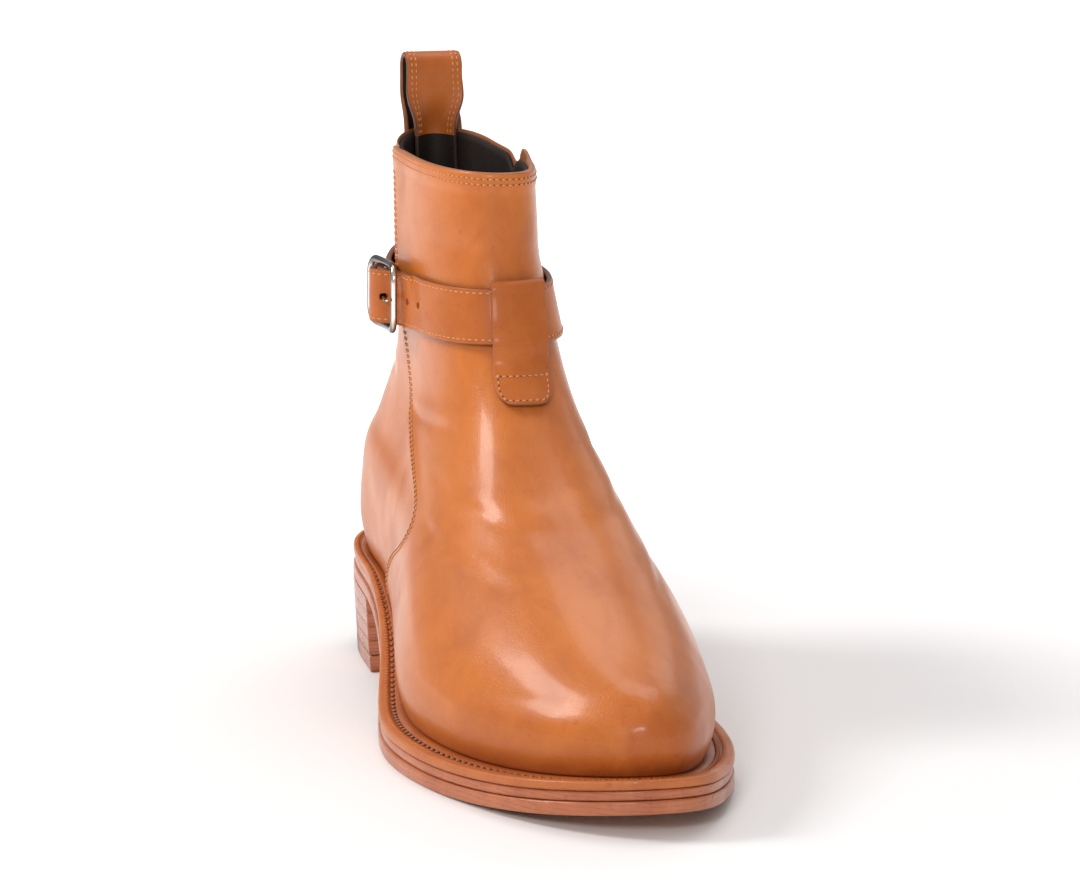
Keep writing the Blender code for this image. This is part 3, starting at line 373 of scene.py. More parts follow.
def last_points(rise, angle):
    """Points of the last's surface (forward, side, height) for shares of the rise and ring angles."""
    rise, angle = np.broadcast_arrays(np.asarray(rise, float), np.asarray(angle, float))
    shape = rise.shape
    rise = rise.ravel()
    angle = np.mod(angle.ravel(), TURN)
    side = np.where(angle <= math.pi, 1.0, -1.0)
    share = (1 - np.cos(angle)) / 2
    back, back_z, front, front_z, ridge, follow, foot, width, shaft, _ = spline(
        RING_RISE, RING_TABLE, rise).T
    follow = np.clip(follow, 0.0, 1.0)
    foot = np.clip(foot, 0.0, 1.0) ** (1.6 - 1.2 * share)
    forward = back + (front - back) * share
    line = back_z + (front_z - back_z) * share
    bed = (welt_height(forward) + (back_z - welt_height(back)) * (1 - share)
           + (front_z - welt_height(front)) * share)
    height = follow * bed + (1 - follow) * line
    tip = np.where(rise > RING_RISE[1], LAST_LENGTH, front)
    foot_side = plan_side((forward - back) / (tip - back), side) * width
    leg_side = side * shaft * round_off((forward - back) / (LEG_ROUND * LAST_LENGTH), 2.1)
    full = foot * foot_side + (1 - foot) * leg_side
    distance, crown = crest_distance(forward, height)
    rounded = round_off(distance / crown)
    fade = ease((rise - RING_RISE[1]) / (RING_RISE[2] - RING_RISE[1]))
    rounded = 1 + (rounded - 1) * fade
    lateral = full * rounded + ridge * ease(share) * (1 - rounded)
    lateral -= SHAFT_LEAN * ease((height - 0.09) / 0.08) * ease(2.2 * share)
    return np.stack([forward, lateral, height], -1).reshape(shape + (3,))


def last_normals(rise, angle):
    """Outward unit normals of the last's surface."""
    rise, angle = np.broadcast_arrays(np.asarray(rise, float), np.asarray(angle, float))
    low = np.clip(rise - 0.006, 0.0, 1.0)
    high = np.clip(rise + 0.006, 0.0, 1.0)
    up = last_points(high, angle) - last_points(low, angle)
    turn = last_points(rise, angle + 0.03) - last_points(rise, angle - 0.03)
    normal = np.cross(up, turn)
    return normal / np.linalg.norm(normal, axis=-1, keepdims=True)


COLLAR_BACK = last_points(1.0, 0.0)


def ring_metric(rise, angle):
    """Metres round the last's surface for one radian of ring angle."""
    step = last_points(rise, angle + 0.02) - last_points(rise, angle - 0.02)
    return np.linalg.norm(step, axis=-1) / 0.04


def run_length(points):
    """Distance from a path's start to each of its points."""
    return np.concatenate([[0.0], np.cumsum(np.linalg.norm(np.diff(points, axis=0), axis=1))])


def across_length(grid):
    """Distance of every point of a strip from the first point of its row."""
    gaps = np.linalg.norm(np.diff(grid, axis=1), axis=-1)
    return np.concatenate([np.zeros((len(grid), 1)), np.cumsum(gaps, 1)], 1)


def edge_angles(rise):
    """Ring angles in radians of the front panel's two edges."""
    knots = column(EDGE_ROWS, EDGE_COLUMNS, "rise")
    inside = np.radians(spline(knots, column(EDGE_ROWS, EDGE_COLUMNS, "inside"), rise))
    outside = np.radians(spline(knots, column(EDGE_ROWS, EDGE_COLUMNS, "outside"), rise))
    return inside, outside


def panel_flare(rise, angle):
    """How far the panel's outer edge stands off below the strap."""
    outside = edge_angles(rise)[1]
    under_strap = ease((rise - 0.30) / 0.12) * (1 - ease((rise - 0.50) / 0.08))
    return PANEL_FLARE * under_strap * np.clip(1 - (outside - angle) / 0.16, 0.0, 1.0) ** 2


def strap_cover(rise, angle):
    """Stand-off of a strap that lies across the panel's edges."""
    inside, outside = edge_angles(rise)
    angle = np.mod(angle, TURN)
    reach = np.minimum(angle - inside, outside - angle)
    return PANEL_STEP * ease(1 + reach / 0.16)


def surface_points(rise, angle, out):
    """Points at a distance off the last's surface."""
    return last_points(rise, angle) + last_normals(rise, angle) * np.asarray(out, float)[..., None]


def rise_at(height, angle):
    """Share of the rise at which the last's surface reaches a height, for each ring angle."""
    steps = np.linspace(0.02, 1.0, 120)
    angle = np.atleast_1d(angle)
    heights = last_points(steps[:, None], angle[None, :])[..., 2]
    return np.array([np.interp(height, heights[:, i], steps) for i in range(len(angle))])


def angle_at(rise, side, middle, out):
    """Ring angle at which a layer over a ring passes a place to the side, near the back or the front."""
    steps = np.linspace(middle - 1.3, middle + 1.3, 120)
    places = surface_points(rise, steps, out)[..., 1]
    if places[-1] < places[0]:
        return np.interp(side, places[::-1], steps[::-1])
    return np.interp(side, places, steps)


def to_world(points):
    """Turn (forward, side, height) into the part's frame."""
    points = np.asarray(points, float)
    return np.stack([points[..., 1], HEEL_CENTRE - points[..., 0], points[..., 2]], -1)


def to_world_direction(vectors):
    """Turn a direction from (forward, side, height) into the part's frame."""
    vectors = np.asarray(vectors, float)
    return np.stack([vectors[..., 1], -vectors[..., 0], vectors[..., 2]], -1)


def fold_depth(rise, angle):
    """Depth of the upper's soft folds below the smooth surface."""
    total = np.zeros(np.shape(rise))
    for row in FOLD_ROWS:
        fold = dict(zip(FOLD_COLUMNS, row))
        a, b = (np.array([fold["rise_" + end] * FOLD_RISE, math.radians(fold["angle_" + end]) * FOLD_RADIAN])
                for end in "ab")
        along = b - a
        length = np.linalg.norm(along)
        along = along / length
        x = rise * FOLD_RISE - a[0]
        y = np.mod(angle, TURN) * FOLD_RADIAN - a[1]
        s = x * along[0] + y * along[1]
        t = x * along[1] - y * along[0]
        ends = ease(1 + s / (0.3 * length)) * ease(1 + (length - s) / (0.3 * length))
        ridge = 0.45 * np.exp(-((t - 2 * fold["half_width"]) / fold["half_width"]) ** 2)
        total += fold["depth"] * ends * (np.exp(-(t / fold["half_width"]) ** 2) - ridge)
    return total


# Materials

def socket(group, name, kind, value=None, way="INPUT"):
    """Add one named socket to a node group."""
    made = group.interface.new_socket(name, in_out=way, socket_type=kind)
    if value is not None:
        made.default_value = value
    return made


def put(tree, kind, **inputs):
    """Add one node and set or link its inputs; spaces in input names are written as underscores."""
    node = tree.nodes.new(kind)
    for name, value in inputs.items():
        feed(tree, node.inputs[name.replace("_", " ")], value)
    return node


def feed(tree, target, value):
    """Set a node's input to a value, or link it to a socket."""
    if isinstance(value, bpy.types.NodeSocket):
        tree.links.new(value, target)
    else:
        target.default_value = value


def math_node(tree, operation, a, b=0.0, clamp=False):
    """One math node with two inputs; returns its output."""
    node = tree.nodes.new("ShaderNodeMath")
    node.operation = operation
    node.use_clamp = clamp
    for i, value in enumerate((a, b)):
        feed(tree, node.inputs[i], value)
    return node.outputs[0]


def mix_colour(tree, factor, a, b):
    """Mix two colours; returns the result."""
    node = tree.nodes.new("ShaderNodeMix")
    node.data_type = "RGBA"
    for place, value in ((0, factor), (6, a), (7, b)):
        feed(tree, node.inputs[place], value)
    return node.outputs[2]


def ramp(tree, value, low, high):
    """Map a value from low..high to 0..1, clamped."""
    node = put(tree, "ShaderNodeMapRange", Value=value, From_Min=low, From_Max=high)
    node.interpolation_type = "SMOOTHSTEP"
    return node.outputs["Result"]


def noise(tree, place, scale, detail=3.0, roughness=0.5, distortion=0.0):
    """Noise texture value."""
    node = put(tree, "ShaderNodeTexNoise", Vector=place, Scale=scale, Detail=detail, Roughness=roughness,
               Distortion=distortion)
    return node.outputs["Fac"]


def new_group(name, inputs, outputs):
    """Shader node group and its input and output nodes; an input's value says its kind, and None a vector."""
    group = bpy.data.node_groups.new(name, "ShaderNodeTree")
    for label, value in inputs:
        kind = {float: "Float", tuple: "Color"}.get(type(value), "Vector")
        socket(group, label, "NodeSocket" + kind, value)
    for label, kind in outputs:
        socket(group, label, "NodeSocket" + kind, way="OUTPUT")
    return group, group.nodes.new("NodeGroupInput"), group.nodes.new("NodeGroupOutput")


def burnish_group():
    """Hand-burnished colour: broad clouds, brushed streaks and small darker specks between two tones."""
    group, start, end = new_group(
        "burnish",
        (("Place", None), ("Light", (0.7, 0.3, 0.12, 1.0)), ("Dark", (0.4, 0.13, 0.05, 1.0)), ("Cloud", 0.5),
         ("Speck", 0.3), ("Shade", 0.0)),
        (("Colour", "Color"), ("Gloss", "Float")))
    place = start.outputs["Place"]
    cloud = ramp(group, noise(group, place, 26.0, 4.0, 0.55, 0.4), 0.36, 0.66)
    brushed = put(group, "ShaderNodeMapping", Vector=place, Scale=(1.0, 0.35, 0.55))
    streak = ramp(group, noise(group, brushed.outputs["Vector"], 110.0, 5.0, 0.6, 1.2), 0.38, 0.68)
    speck = ramp(group, noise(group, place, 420.0, 2.0, 0.5), 0.60, 0.78)
    amount = math_node(group, "MULTIPLY", cloud, start.outputs["Cloud"])
    amount = math_node(group, "ADD", amount, math_node(group, "MULTIPLY", streak, 0.20))
    amount = math_node(group, "ADD", amount, math_node(group, "MULTIPLY", speck, start.outputs["Speck"]))
    amount = math_node(group, "ADD", amount, start.outputs["Shade"], clamp=True)
    colour = mix_colour(group, amount, start.outputs["Light"], start.outputs["Dark"])
    group.links.new(colour, end.inputs["Colour"])
    group.links.new(math_node(group, "MULTIPLY", cloud, 0.5), end.inputs["Gloss"])
    return group


def grain_group():
    """Leather grain: pore cells, hair-fine wrinkles and low waves, as one height."""
    group, start, end = new_group("grain", (("Place", None), ("Pore", 0.0011)), (("Height", "Float"),))
    place = start.outputs["Place"]
    scale = math_node(group, "DIVIDE", 1.0, start.outputs["Pore"])
    cells = put(group, "ShaderNodeTexVoronoi", Vector=place, Scale=scale)
    cells.feature = "DISTANCE_TO_EDGE"
    pore = ramp(group, cells.outputs["Distance"], 0.0, 0.16)
    wrinkle = noise(group, place, 900.0, 3.0, 0.6, 0.6)
    wave = noise(group, place, 140.0, 2.0, 0.5)
    height = math_node(group, "MULTIPLY", pore, 0.45)
    height = math_node(group, "ADD", height, math_node(group, "MULTIPLY", wrinkle, 0.45))
    height = math_node(group, "ADD", height, math_node(group, "MULTIPLY", wave, 0.9))
    group.links.new(height, end.inputs["Height"])
    return group


def layer_group():
    """Thin lines of stacked or pressed leather, across the height of an edge."""
    group, start, end = new_group("layers", (("Place", None), ("Spacing", 0.0014)), (("Line", "Float"),))
    split = put(group, "ShaderNodeSeparateXYZ", Vector=start.outputs["Place"])
    wobble = math_node(group, "MULTIPLY", noise(group, start.outputs["Place"], 90.0, 2.0), 0.0016)
    level = math_node(group, "ADD", split.outputs["Z"], wobble)
    turn = math_node(group, "DIVIDE", level, start.outputs["Spacing"])
    line = math_node(group, "FRACT", turn)
    line = math_node(group, "ABSOLUTE", math_node(group, "SUBTRACT", line, 0.5))
    fine = noise(group, start.outputs["Place"], 700.0, 3.0)
    line = math_node(group, "MULTIPLY", ramp(group, line, 0.30, 0.50), ramp(group, fine, 0.30, 0.62))
    group.links.new(line, end.inputs["Line"])
    return group


GROUPS = {"burnish": burnish_group(), "grain": grain_group(), "layers": layer_group()}


def use_group(tree, name, **inputs):
    """Place a shared node group and set its inputs."""
    node = tree.nodes.new("ShaderNodeGroup")
    node.node_tree = GROUPS[name]
    for label, value in inputs.items():
        feed(tree, node.inputs[label], value)
    return node


def start_material(name):
    """New material with a Principled shader, and the object coordinates it reads."""
    material = bpy.data.materials.new(name)
    material.use_nodes = True
    tree = material.node_tree
    shader = tree.nodes["Principled BSDF"]
    place = tree.nodes.new("ShaderNodeTexCoord").outputs["Object"]
    return material, tree, shader, place


def add_bump(tree, shader, height, strength, distance):
    """Feed a height to the shader's normal."""
    bump = put(tree, "ShaderNodeBump", Height=height, Strength=strength, Distance=distance)
    tree.links.new(bump.outputs["Normal"], shader.inputs["Normal"])


def roughen(tree, shader, gloss, rough):
    """Let the burnish's gloss steer the roughness between two values."""
    spread = put(tree, "ShaderNodeMapRange", Value=gloss, From_Max=0.5, To_Min=rough[0], To_Max=rough[1])
    tree.links.new(spread.outputs["Result"], shader.inputs["Roughness"])


def point_mark(tree, name):
    """Value of one of a mesh's own attributes."""
    node = tree.nodes.new("ShaderNodeAttribute")
    node.attribute_name = name
    return node.outputs["Fac"]


def leather(name, light, dark, raw, cloud=0.45, speck=0.25, pore=0.0011, rough=(0.30, 0.46), coat=0.35,
            depth=0.00006, coat_rough=0.16):
    """Burnished leather; the attribute cut shows the raw edge, and the attribute shade darkens the colour:
    deeper dye at the toe and along a strip's edges, painted shade in grooves, and both along seams and at the
    welt.
    """
    material, tree, shader, place = start_material(name)
    tone = use_group(tree, "burnish", Place=place, Light=(*light, 1.0), Dark=(*dark, 1.0), Cloud=cloud,
                     Speck=speck, Shade=point_mark(tree, "shade"))
    colour = mix_colour(tree, point_mark(tree, "cut"), tone.outputs["Colour"], (*raw, 1.0))
    tree.links.new(colour, shader.inputs["Base Color"])
    roughen(tree, shader, tone.outputs["Gloss"], rough)
    shader.inputs["Coat Weight"].default_value = coat
    shader.inputs["Coat Roughness"].default_value = coat_rough
    shader.inputs["Specular IOR Level"].default_value = LEATHER_SPECULAR
    grain = use_group(tree, "grain", Place=place, Pore=pore)
    add_bump(tree, shader, grain.outputs["Height"], 1.0, depth)
    return material


def edge_leather(name, light, dark, line_colour, spacing, rough, depth=0.00012):
    """Waxed edge of stacked or pressed leather with thin layer lines."""
    material, tree, shader, place = start_material(name)
    tone = use_group(tree, "burnish", Place=place, Light=(*light, 1.0), Dark=(*dark, 1.0), Cloud=0.6,
                     Speck=0.35, Shade=0.0)
    lines = use_group(tree, "layers", Place=place, Spacing=spacing).outputs["Line"]
    colour = mix_colour(tree, math_node(tree, "MULTIPLY", lines, 0.26), tone.outputs["Colour"],
                        (*line_colour, 1.0))
    tree.links.new(colour, shader.inputs["Base Color"])
    roughen(tree, shader, tone.outputs["Gloss"], rough)
    shader.inputs["Coat Weight"].default_value = 0.12
    shader.inputs["Coat Roughness"].default_value = 0.2
    relief = math_node(tree, "SUBTRACT", noise(tree, place, 600.0, 3.0), lines)
    add_bump(tree, shader, relief, 0.8, depth)
    return material


def nickel(name):
    """Polished nickel with faint hand polishing marks, its colour darkened where the surface turns away from
    the camera as a painted reflection.
    """
    material, tree, shader, place = start_material(name)
    haze = noise(tree, place, 260.0, 3.0)
    colour = mix_colour(tree, haze, (0.78, 0.76, 0.73, 1.0), (0.60, 0.58, 0.56, 1.0))
    # Painted reflection: darker colour where the surface turns away from the camera
    rim = put(tree, "ShaderNodeLayerWeight", Blend=0.5)
    painted_dark_reflection = ramp(tree, rim.outputs["Facing"], 0.16, 0.60)
    shade = mix_colour(tree, painted_dark_reflection, colour, (0.115, 0.105, 0.100, 1.0))
    tree.links.new(shade, shader.inputs["Base Color"])
    shader.inputs["Metallic"].default_value = 1.0
    rough = math_node(tree, "ADD", math_node(tree, "MULTIPLY", haze, 0.14), 0.10)
    tree.links.new(rough, shader.inputs["Roughness"])
    add_bump(tree, shader, noise(tree, place, 1500.0, 2.0), 0.25, 0.00003)
    return material


def thread(name, light, dark):
    """Waxed twisted thread."""
    material, tree, shader, place = start_material(name)
    twist = noise(tree, place, 2600.0, 2.0)
    tree.links.new(mix_colour(tree, twist, (*light, 1.0), (*dark, 1.0)), shader.inputs["Base Color"])
    rough = math_node(tree, "ADD", math_node(tree, "MULTIPLY", twist, 0.2), 0.45)
    tree.links.new(rough, shader.inputs["Roughness"])
    add_bump(tree, shader, twist, 0.6, 0.00008)
    return material


def rubber(name):
    """Black heel rubber, a little dusty."""
    material, tree, shader, place = start_material(name)
    dust = ramp(tree, noise(tree, place, 120.0, 5.0, 0.65), 0.45, 0.75)
    colour = mix_colour(tree, math_node(tree, "MULTIPLY", dust, 0.4), (0.014, 0.014, 0.015, 1.0),
                        (0.060, 0.052, 0.048, 1.0))
    tree.links.new(colour, shader.inputs["Base Color"])
    rough = math_node(tree, "ADD", math_node(tree, "MULTIPLY", dust, 0.2), 0.50)
    tree.links.new(rough, shader.inputs["Roughness"])
    add_bump(tree, shader, noise(tree, place, 1400.0, 3.0), 0.7, 0.00008)
    return material


TAN = leather("tan_calf", (0.550, 0.158, 0.029), (0.385, 0.090, 0.016), (0.20, 0.105, 0.065),
              rough=(0.30, 0.42), coat=0.17, coat_rough=0.15)
STRAP_TAN = leather("strap_calf", (0.490, 0.130, 0.023), (0.340, 0.078, 0.012), (0.13, 0.050, 0.026),
                    rough=(0.36, 0.48), coat=0.10)
# Dark brown lining and flesh side, its colour made nearly black as painted shade inside the boot
FLESH_AND_SHADE = leather("dark_lining_and_shade", (0.022, 0.015, 0.012), (0.011, 0.007, 0.006), (0.05, 0.03, 0.02), cloud=0.7,
                rough=(0.62, 0.74), coat=0.0, depth=0.00012)
WELT = leather("welt_leather", (0.560, 0.170, 0.045), (0.360, 0.090, 0.024), (0.14, 0.045, 0.02), cloud=0.5,
               speck=0.4, rough=(0.36, 0.50), coat=0.25, depth=0.00012)
SOLE = leather("sole_bend", (0.480, 0.215, 0.120), (0.370, 0.140, 0.072), (0.20, 0.07, 0.035), cloud=0.4,
               speck=0.2, pore=0.0018, rough=(0.16, 0.28), coat=0.7, depth=0.00005, coat_rough=0.08)
INSOLE = leather("insole_leather", (0.300, 0.170, 0.110), (0.180, 0.090, 0.055), (0.20, 0.12, 0.08),
                 cloud=0.6, rough=(0.50, 0.62), coat=0.05)
EDGE = edge_leather("sole_edge", (0.520, 0.165, 0.066), (0.340, 0.084, 0.031), (0.09, 0.025, 0.012), 0.0016,
                    (0.26, 0.42))
STACKED = edge_leather("stacked_heel", (0.430, 0.125, 0.052), (0.270, 0.064, 0.027), (0.075, 0.020, 0.012),
                       0.00135, (0.22, 0.38))
NICKEL = nickel("nickel")
RUBBER = rubber("heel_rubber")
FINE_THREAD = thread("tan_thread", (0.74, 0.34, 0.145), (0.50, 0.18, 0.065))
WELT_THREAD = thread("welt_thread", (0.47, 0.165, 0.058), (0.27, 0.080, 0.027))
# Dark spots between the stitches: painted shade in the needle holes
NEEDLE_HOLE_SHADE = thread("needle_hole_shade", (0.10, 0.035, 0.016), (0.045, 0.016, 0.010))
BRASS_NAIL = nickel("nail_head")


# Pieces

def add_object(name, data):
    """New object in the scene."""
    made = bpy.data.objects.new(name, data)
    bpy.context.scene.collection.objects.link(made)
    return made


def solid_mesh(name, solid):
    """Mesh of a solid in the part's own directions, its faces turned outward."""
    points, faces = solid
    mesh = bpy.data.meshes.new(name)
    mesh.from_pydata([tuple(point) for point in to_world(points)], [], faces)
    shape = bmesh.new()
    shape.from_mesh(mesh)
    bmesh.ops.recalc_face_normals(shape, faces=shape.faces[:])
    shape.to_mesh(mesh)
    shape.free()
    return mesh


def make_piece(name, solid, material, replaced=(), marks=None):
    """Make one object from points (forward, side, height) and faces, with its marks, and ride it."""
    mesh = solid_mesh(name, solid)
    for label, values in (marks or {}).items():
        mark = mesh.attributes.new(label, "FLOAT", "POINT")
        mark.data.foreach_set("value", np.asarray(values, np.float32).ravel())
    mesh.polygons.foreach_set("use_smooth", [True] * len(mesh.polygons))
    mesh.materials.append(material)
    return dress(add_object(name, mesh), replaced)


def dress(piece, replaced=()):
    """Ride a finished piece on the boot, and hide the nodes it stands for."""
    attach(piece, "root")
    if replaced:
        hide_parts(*replaced)
    return piece


def shell(outer, inner, cyclic):
    """Solid between two grids of points with the same rows and columns."""
    rows, columns = outer.shape[:2]
    points = np.concatenate([outer.reshape(-1, 3), inner.reshape(-1, 3)])
    half = rows * columns
    top = half - columns
    faces = []
    for c in range(columns if cyclic else columns - 1):
        d = (c + 1) % columns
        for start in range(0, top, columns):
            a, b = start + c, start + d
            faces.append((a, b, b + columns, a + columns))
            faces.append((half + a + columns, half + b + columns, half + b, half + a))
        faces.append((half + c, half + d, d, c))
        faces.append((top + c, top + d, half + top + d, half + top + c))
    if not cyclic:
        for a in range(0, top, columns):
            b = a + columns - 1
            faces.append((a, a + columns, half + a + columns, half + a))
            faces.append((half + b, half + b + columns, b + columns, b))
    return points, faces


def side_offsets(fine, reach):
    """Distances in from a cut edge at which columns stand, close together at the edge."""
    return np.concatenate([[0.0, 0.08, 0.22, 0.42, 0.70], np.linspace(1.0, reach / fine, 4)]) * fine


def edge_round(distance, radius):
    """Share of a sheet's half thickness left at a distance from its rounded edge."""
    share = np.clip(distance / radius, 0.0, 1.0)
    return 0.15 + 0.85 * np.sqrt(1 - (1 - share) ** 2)


def sheet_columns(rise, start, end, count, reach=0.006):
    """Ring angles of a sheet's columns between its two cut edges, and each column's distance to the edge."""
    offsets = side_offsets(SHEET_EDGE, reach)
    grids = []
    for edge, sign in ((start, 1.0), (end, -1.0)):
        grids.append(edge[:, None] + sign * offsets[None, :] / ring_metric(rise, edge)[:, None])
    near, far = grids[0], grids[1][:, ::-1]
    share = np.linspace(0, 1, count + 2)[1:-1]
    middle = near[:, -1:] + (far[:, :1] - near[:, -1:]) * share
    angle = np.concatenate([near, middle, far], 1)
    distance = np.concatenate([offsets, np.full(count, reach), offsets[::-1]])
    return angle, np.broadcast_to(distance, angle.shape)


def sheet_rises(count):
    """Shares of the rise for a sheet's rows, close together at the collar."""
    span = RING_TABLE[:, 1][-1] - RING_TABLE[:, 1][0]
    top = 1.0 - np.array([2.2, 1.0, 0.55, 0.25, 0.08, 0.0]) * SHEET_EDGE * 2.5 / (2.0 * span)
    return np.concatenate([np.linspace(0.0, 1.0, count) ** 1.08 * (top[0] - 0.004), top])


def collar_round(rise):
    """Share of the half thickness left below the collar's rounded edge."""
    span = RING_TABLE[:, 1][-1] - RING_TABLE[:, 1][0]
    return edge_round((1.0 - rise) * span * 0.9, COLLAR_EDGE)


def seat_on_welt(grid):
    """Put a sheet's lowest row on the welt's top face."""
    grid[0, :, 2] = welt_height(grid[0, :, 0]) + WELT_SEAT


def seam_shade(distance, height):
    """Darker colour along a seam and down at the welt: partly burnished colour, partly painted shade where
    the parts meet.
    """
    seam = SEAM_DYE_AND_SHADE[0] * np.exp(-distance / SEAM_DYE_AND_SHADE[1])
    welt = WELT_DYE_AND_SHADE[0] * np.exp(-np.clip(height, 0.0, None) / WELT_DYE_AND_SHADE[1])
    return seam + welt


def collar_cut(level):
    """Raw edge's mark at the collar."""
    return 0.55 * (1 - ease(((1 - level) * COLLAR_SPAN - 0.0002) / 0.0004))


def upper_sheet(name, outer, inner, shade, cut):
    """One of the upper's tan sheets, darker in places on its outside (deeper dye, and painted shade along
    seams and at the welt) and rawer on its flesh side.
    """
    marks = {"shade": np.stack([shade, shade * 0]), "cut": np.stack([cut, np.maximum(cut, 0.6)])}
    make_piece(name, shell(outer, inner, False), TAN, ("upper",), marks)


def build_panel():
    """Front panel: one sheet over the vamp and the front of the leg, lapped over the quarters."""
    rise = sheet_rises(150)
    inside, outside = edge_angles(rise)
    angle, distance = sheet_columns(rise, inside, outside, 120)
    level = np.broadcast_to(rise[:, None], angle.shape)
    lap = 1 - ease((distance_along(level, angle, inside, outside) - PANEL_LAP) / 0.006)
    flare = panel_flare(level, angle)
    low = -LINING + (LINING + 0.0001) * lap + flare
    high = PANEL_STEP + flare
    centre = (high + low) / 2
    half = (high - low) / 2 * edge_round(distance, SHEET_EDGE) * collar_round(level)
    band = COLLAR_BAND * (1 - ease(((1 - level) * COLLAR_SPAN - 0.0042) / 0.0006)) * ease(distance / 0.002)
    folds = fold_depth(level, angle)
    outer = surface_points(level, angle, centre + half + band - folds)
    inner = surface_points(level, angle, centre - half - folds * 0.5)
    for grid in (outer, inner):
        seat_on_welt(grid)
        shape_panel_top(grid, level, angle, inside, outside)
    above = outer[..., 2] - welt_height(outer[..., 0])
    # Darker along the panel's edges and down at the welt, partly burnished colour and partly painted shade,
    # and deeper dye at the toe
    strength, toe, reach = TOE_DYE
    shade = seam_shade(distance, above) + strength * np.exp(-((outer[..., 0] - toe) / reach) ** 2)
    cut = 1 - ease((distance - 0.00010) / 0.00045)
    upper_sheet("front_panel", outer, inner, shade, np.maximum(cut * (level > 0.02), collar_cut(level)))


def distance_along(level, angle, inside, outside):
    """Rough distance in metres along a ring from the nearer panel edge."""
    return np.minimum(angle - inside[:, None], outside[:, None] - angle) * ring_metric(level, angle)


def shape_panel_top(grid, level, angle, inside, outside):
    """Drop the panel's top corners, and lift the inner corner's ear next to the notch."""
    near_top = ease((level - 0.93) / 0.07)
    from_inside = distance_along(level, angle, inside, outside)
    on_inside = (angle - inside[:, None]) < (outside[:, None] - angle)
    ear = ease(from_inside / EAR_START) * (1 - ease((from_inside - EAR_FLAT) / EAR_FALL))
    corner = np.exp(-(from_inside / CORNER_REACH) ** 2)
    lift = np.where(on_inside, EAR_RISE * ear - NOTCH_DEPTH * corner, -CORNER_DROP * corner)
    grid[..., 2] += lift * near_top





def build_quarters():
    """Both quarters: one sheet round the heel's back, its ends under the front panel."""
    rise = sheet_rises(120)
    inside, outside = edge_angles(rise)
    lap = 0.10
    angle, distance = sheet_columns(rise, outside - lap, inside + TURN + lap, 96)
    level = np.broadcast_to(rise[:, None], angle.shape)
    centre = -LINING / 2
    half = LINING / 2 * edge_round(distance, SHEET_EDGE) * collar_round(level)
    band_angle = np.minimum(angle - outside[:, None], inside[:, None] + TURN - angle)
    folds = fold_depth(level, angle) * ease(band_angle / 0.2)
    outer = surface_points(level, angle, centre + half - folds)
    inner = surface_points(level, angle, centre - half - folds)
    for grid in (outer, inner):
        seat_on_welt(grid)
        near_top = ease((level - 0.95) / 0.05)
        at_notch = np.exp(-((inside[:, None] + TURN - angle) / 0.10) ** 2)
        grid[..., 2] -= 0.6 * NOTCH_DEPTH * at_notch * near_top
    above = outer[..., 2] - welt_height(outer[..., 0])
    # Darker beside the front panel's edges and down at the welt: partly burnished colour, partly painted
    # shade where the panel's edge stands over the quarter and the upper meets the welt
    shade = seam_shade(np.clip(band_angle, 0, None) * 0.030, above)
    upper_sheet("quarters", outer, inner, shade, collar_cut(level))


def build_lining():
    """Dark lining inside the whole upper, ending just below the collar's edge; its near-black colour is
    partly painted shade inside the boot.
    """
    rise = np.linspace(0.0, 0.994, 80)
    angle = np.linspace(0, TURN, 120, endpoint=False)
    level, turn = np.meshgrid(rise, angle, indexing="ij")
    ripple = 0.00018 * np.sin(9 * turn + 14 * level) * ease((level - 0.5) / 0.3)
    outer = surface_points(level, turn, -LINING - 0.00005)
    inner = surface_points(level, turn, -WALL + ripple * 0.5)
    inside, _ = edge_angles(1.0)
    for grid in (outer, inner):
        seat_on_welt(grid)
        at_notch = np.exp(-((turn - inside) / 0.09) ** 2)
        grid[..., 2] -= NOTCH_DEPTH * at_notch * ease((level - 0.93) / 0.06)
    make_piece("lining", shell(outer, inner, True), FLESH_AND_SHADE, ("upper",))


def ribbon(centre, thickness):
    """Leather strip with rounded edges about a grid of middle points (rows along, columns across)."""
    along = np.gradient(centre, axis=0)
    across = np.gradient(centre, axis=1)
    normal = np.cross(across, along)
    normal /= np.linalg.norm(normal, axis=-1, keepdims=True)
    place = across_length(centre)
    distance = np.minimum(place, place[:, -1:] - place)
    run = run_length(centre[:, centre.shape[1] // 2])
    ends = np.minimum(run, run[-1] - run)
    half = thickness / 2 * edge_round(distance, STRIP_EDGE) * edge_round(ends, STRIP_EDGE)[:, None]
    offset = normal * half[..., None]
    cut_across, cut_along = (1 - ease((gap - CUT_EDGE[0]) / CUT_EDGE[1]) for gap in (distance, ends))
    cut = np.maximum(cut_across, cut_along[:, None])
    shade = STRIP_DYE[0] * np.exp(-distance / STRIP_DYE[1])
    return centre + offset, centre - offset, cut, shade, normal


def across_columns(count, width):
    """Places across a strip from edge to edge, close together at both edges, as shares from -0.5 to 0.5."""
    edge = np.array([0.0, 0.10, 0.30, 0.60, 1.0]) * STRIP_EDGE / width
    middle = np.linspace(edge[-1], 1 - edge[-1], count)[1:-1]
    return np.concatenate([edge, middle, 1 - edge[::-1]]) - 0.5


def finer(rows, steps):
    """More rows between the given ones, along a smooth curve."""
    length = run_length(rows[:, rows.shape[1] // 2])
    return spline(length, rows, np.linspace(0, length[-1], steps))


def wall_inside(height, across, gap):
    """Places (forward, side) of a layer inside the heel's back, at distances from its middle line."""
    places = surface_points(rise_at(height, 0.0), np.linspace(-1.3, 1.3, 241), -WALL - gap)[:, :2]
    run = run_length(places)
    run -= run[120]
    return columns_at(across, run, places)


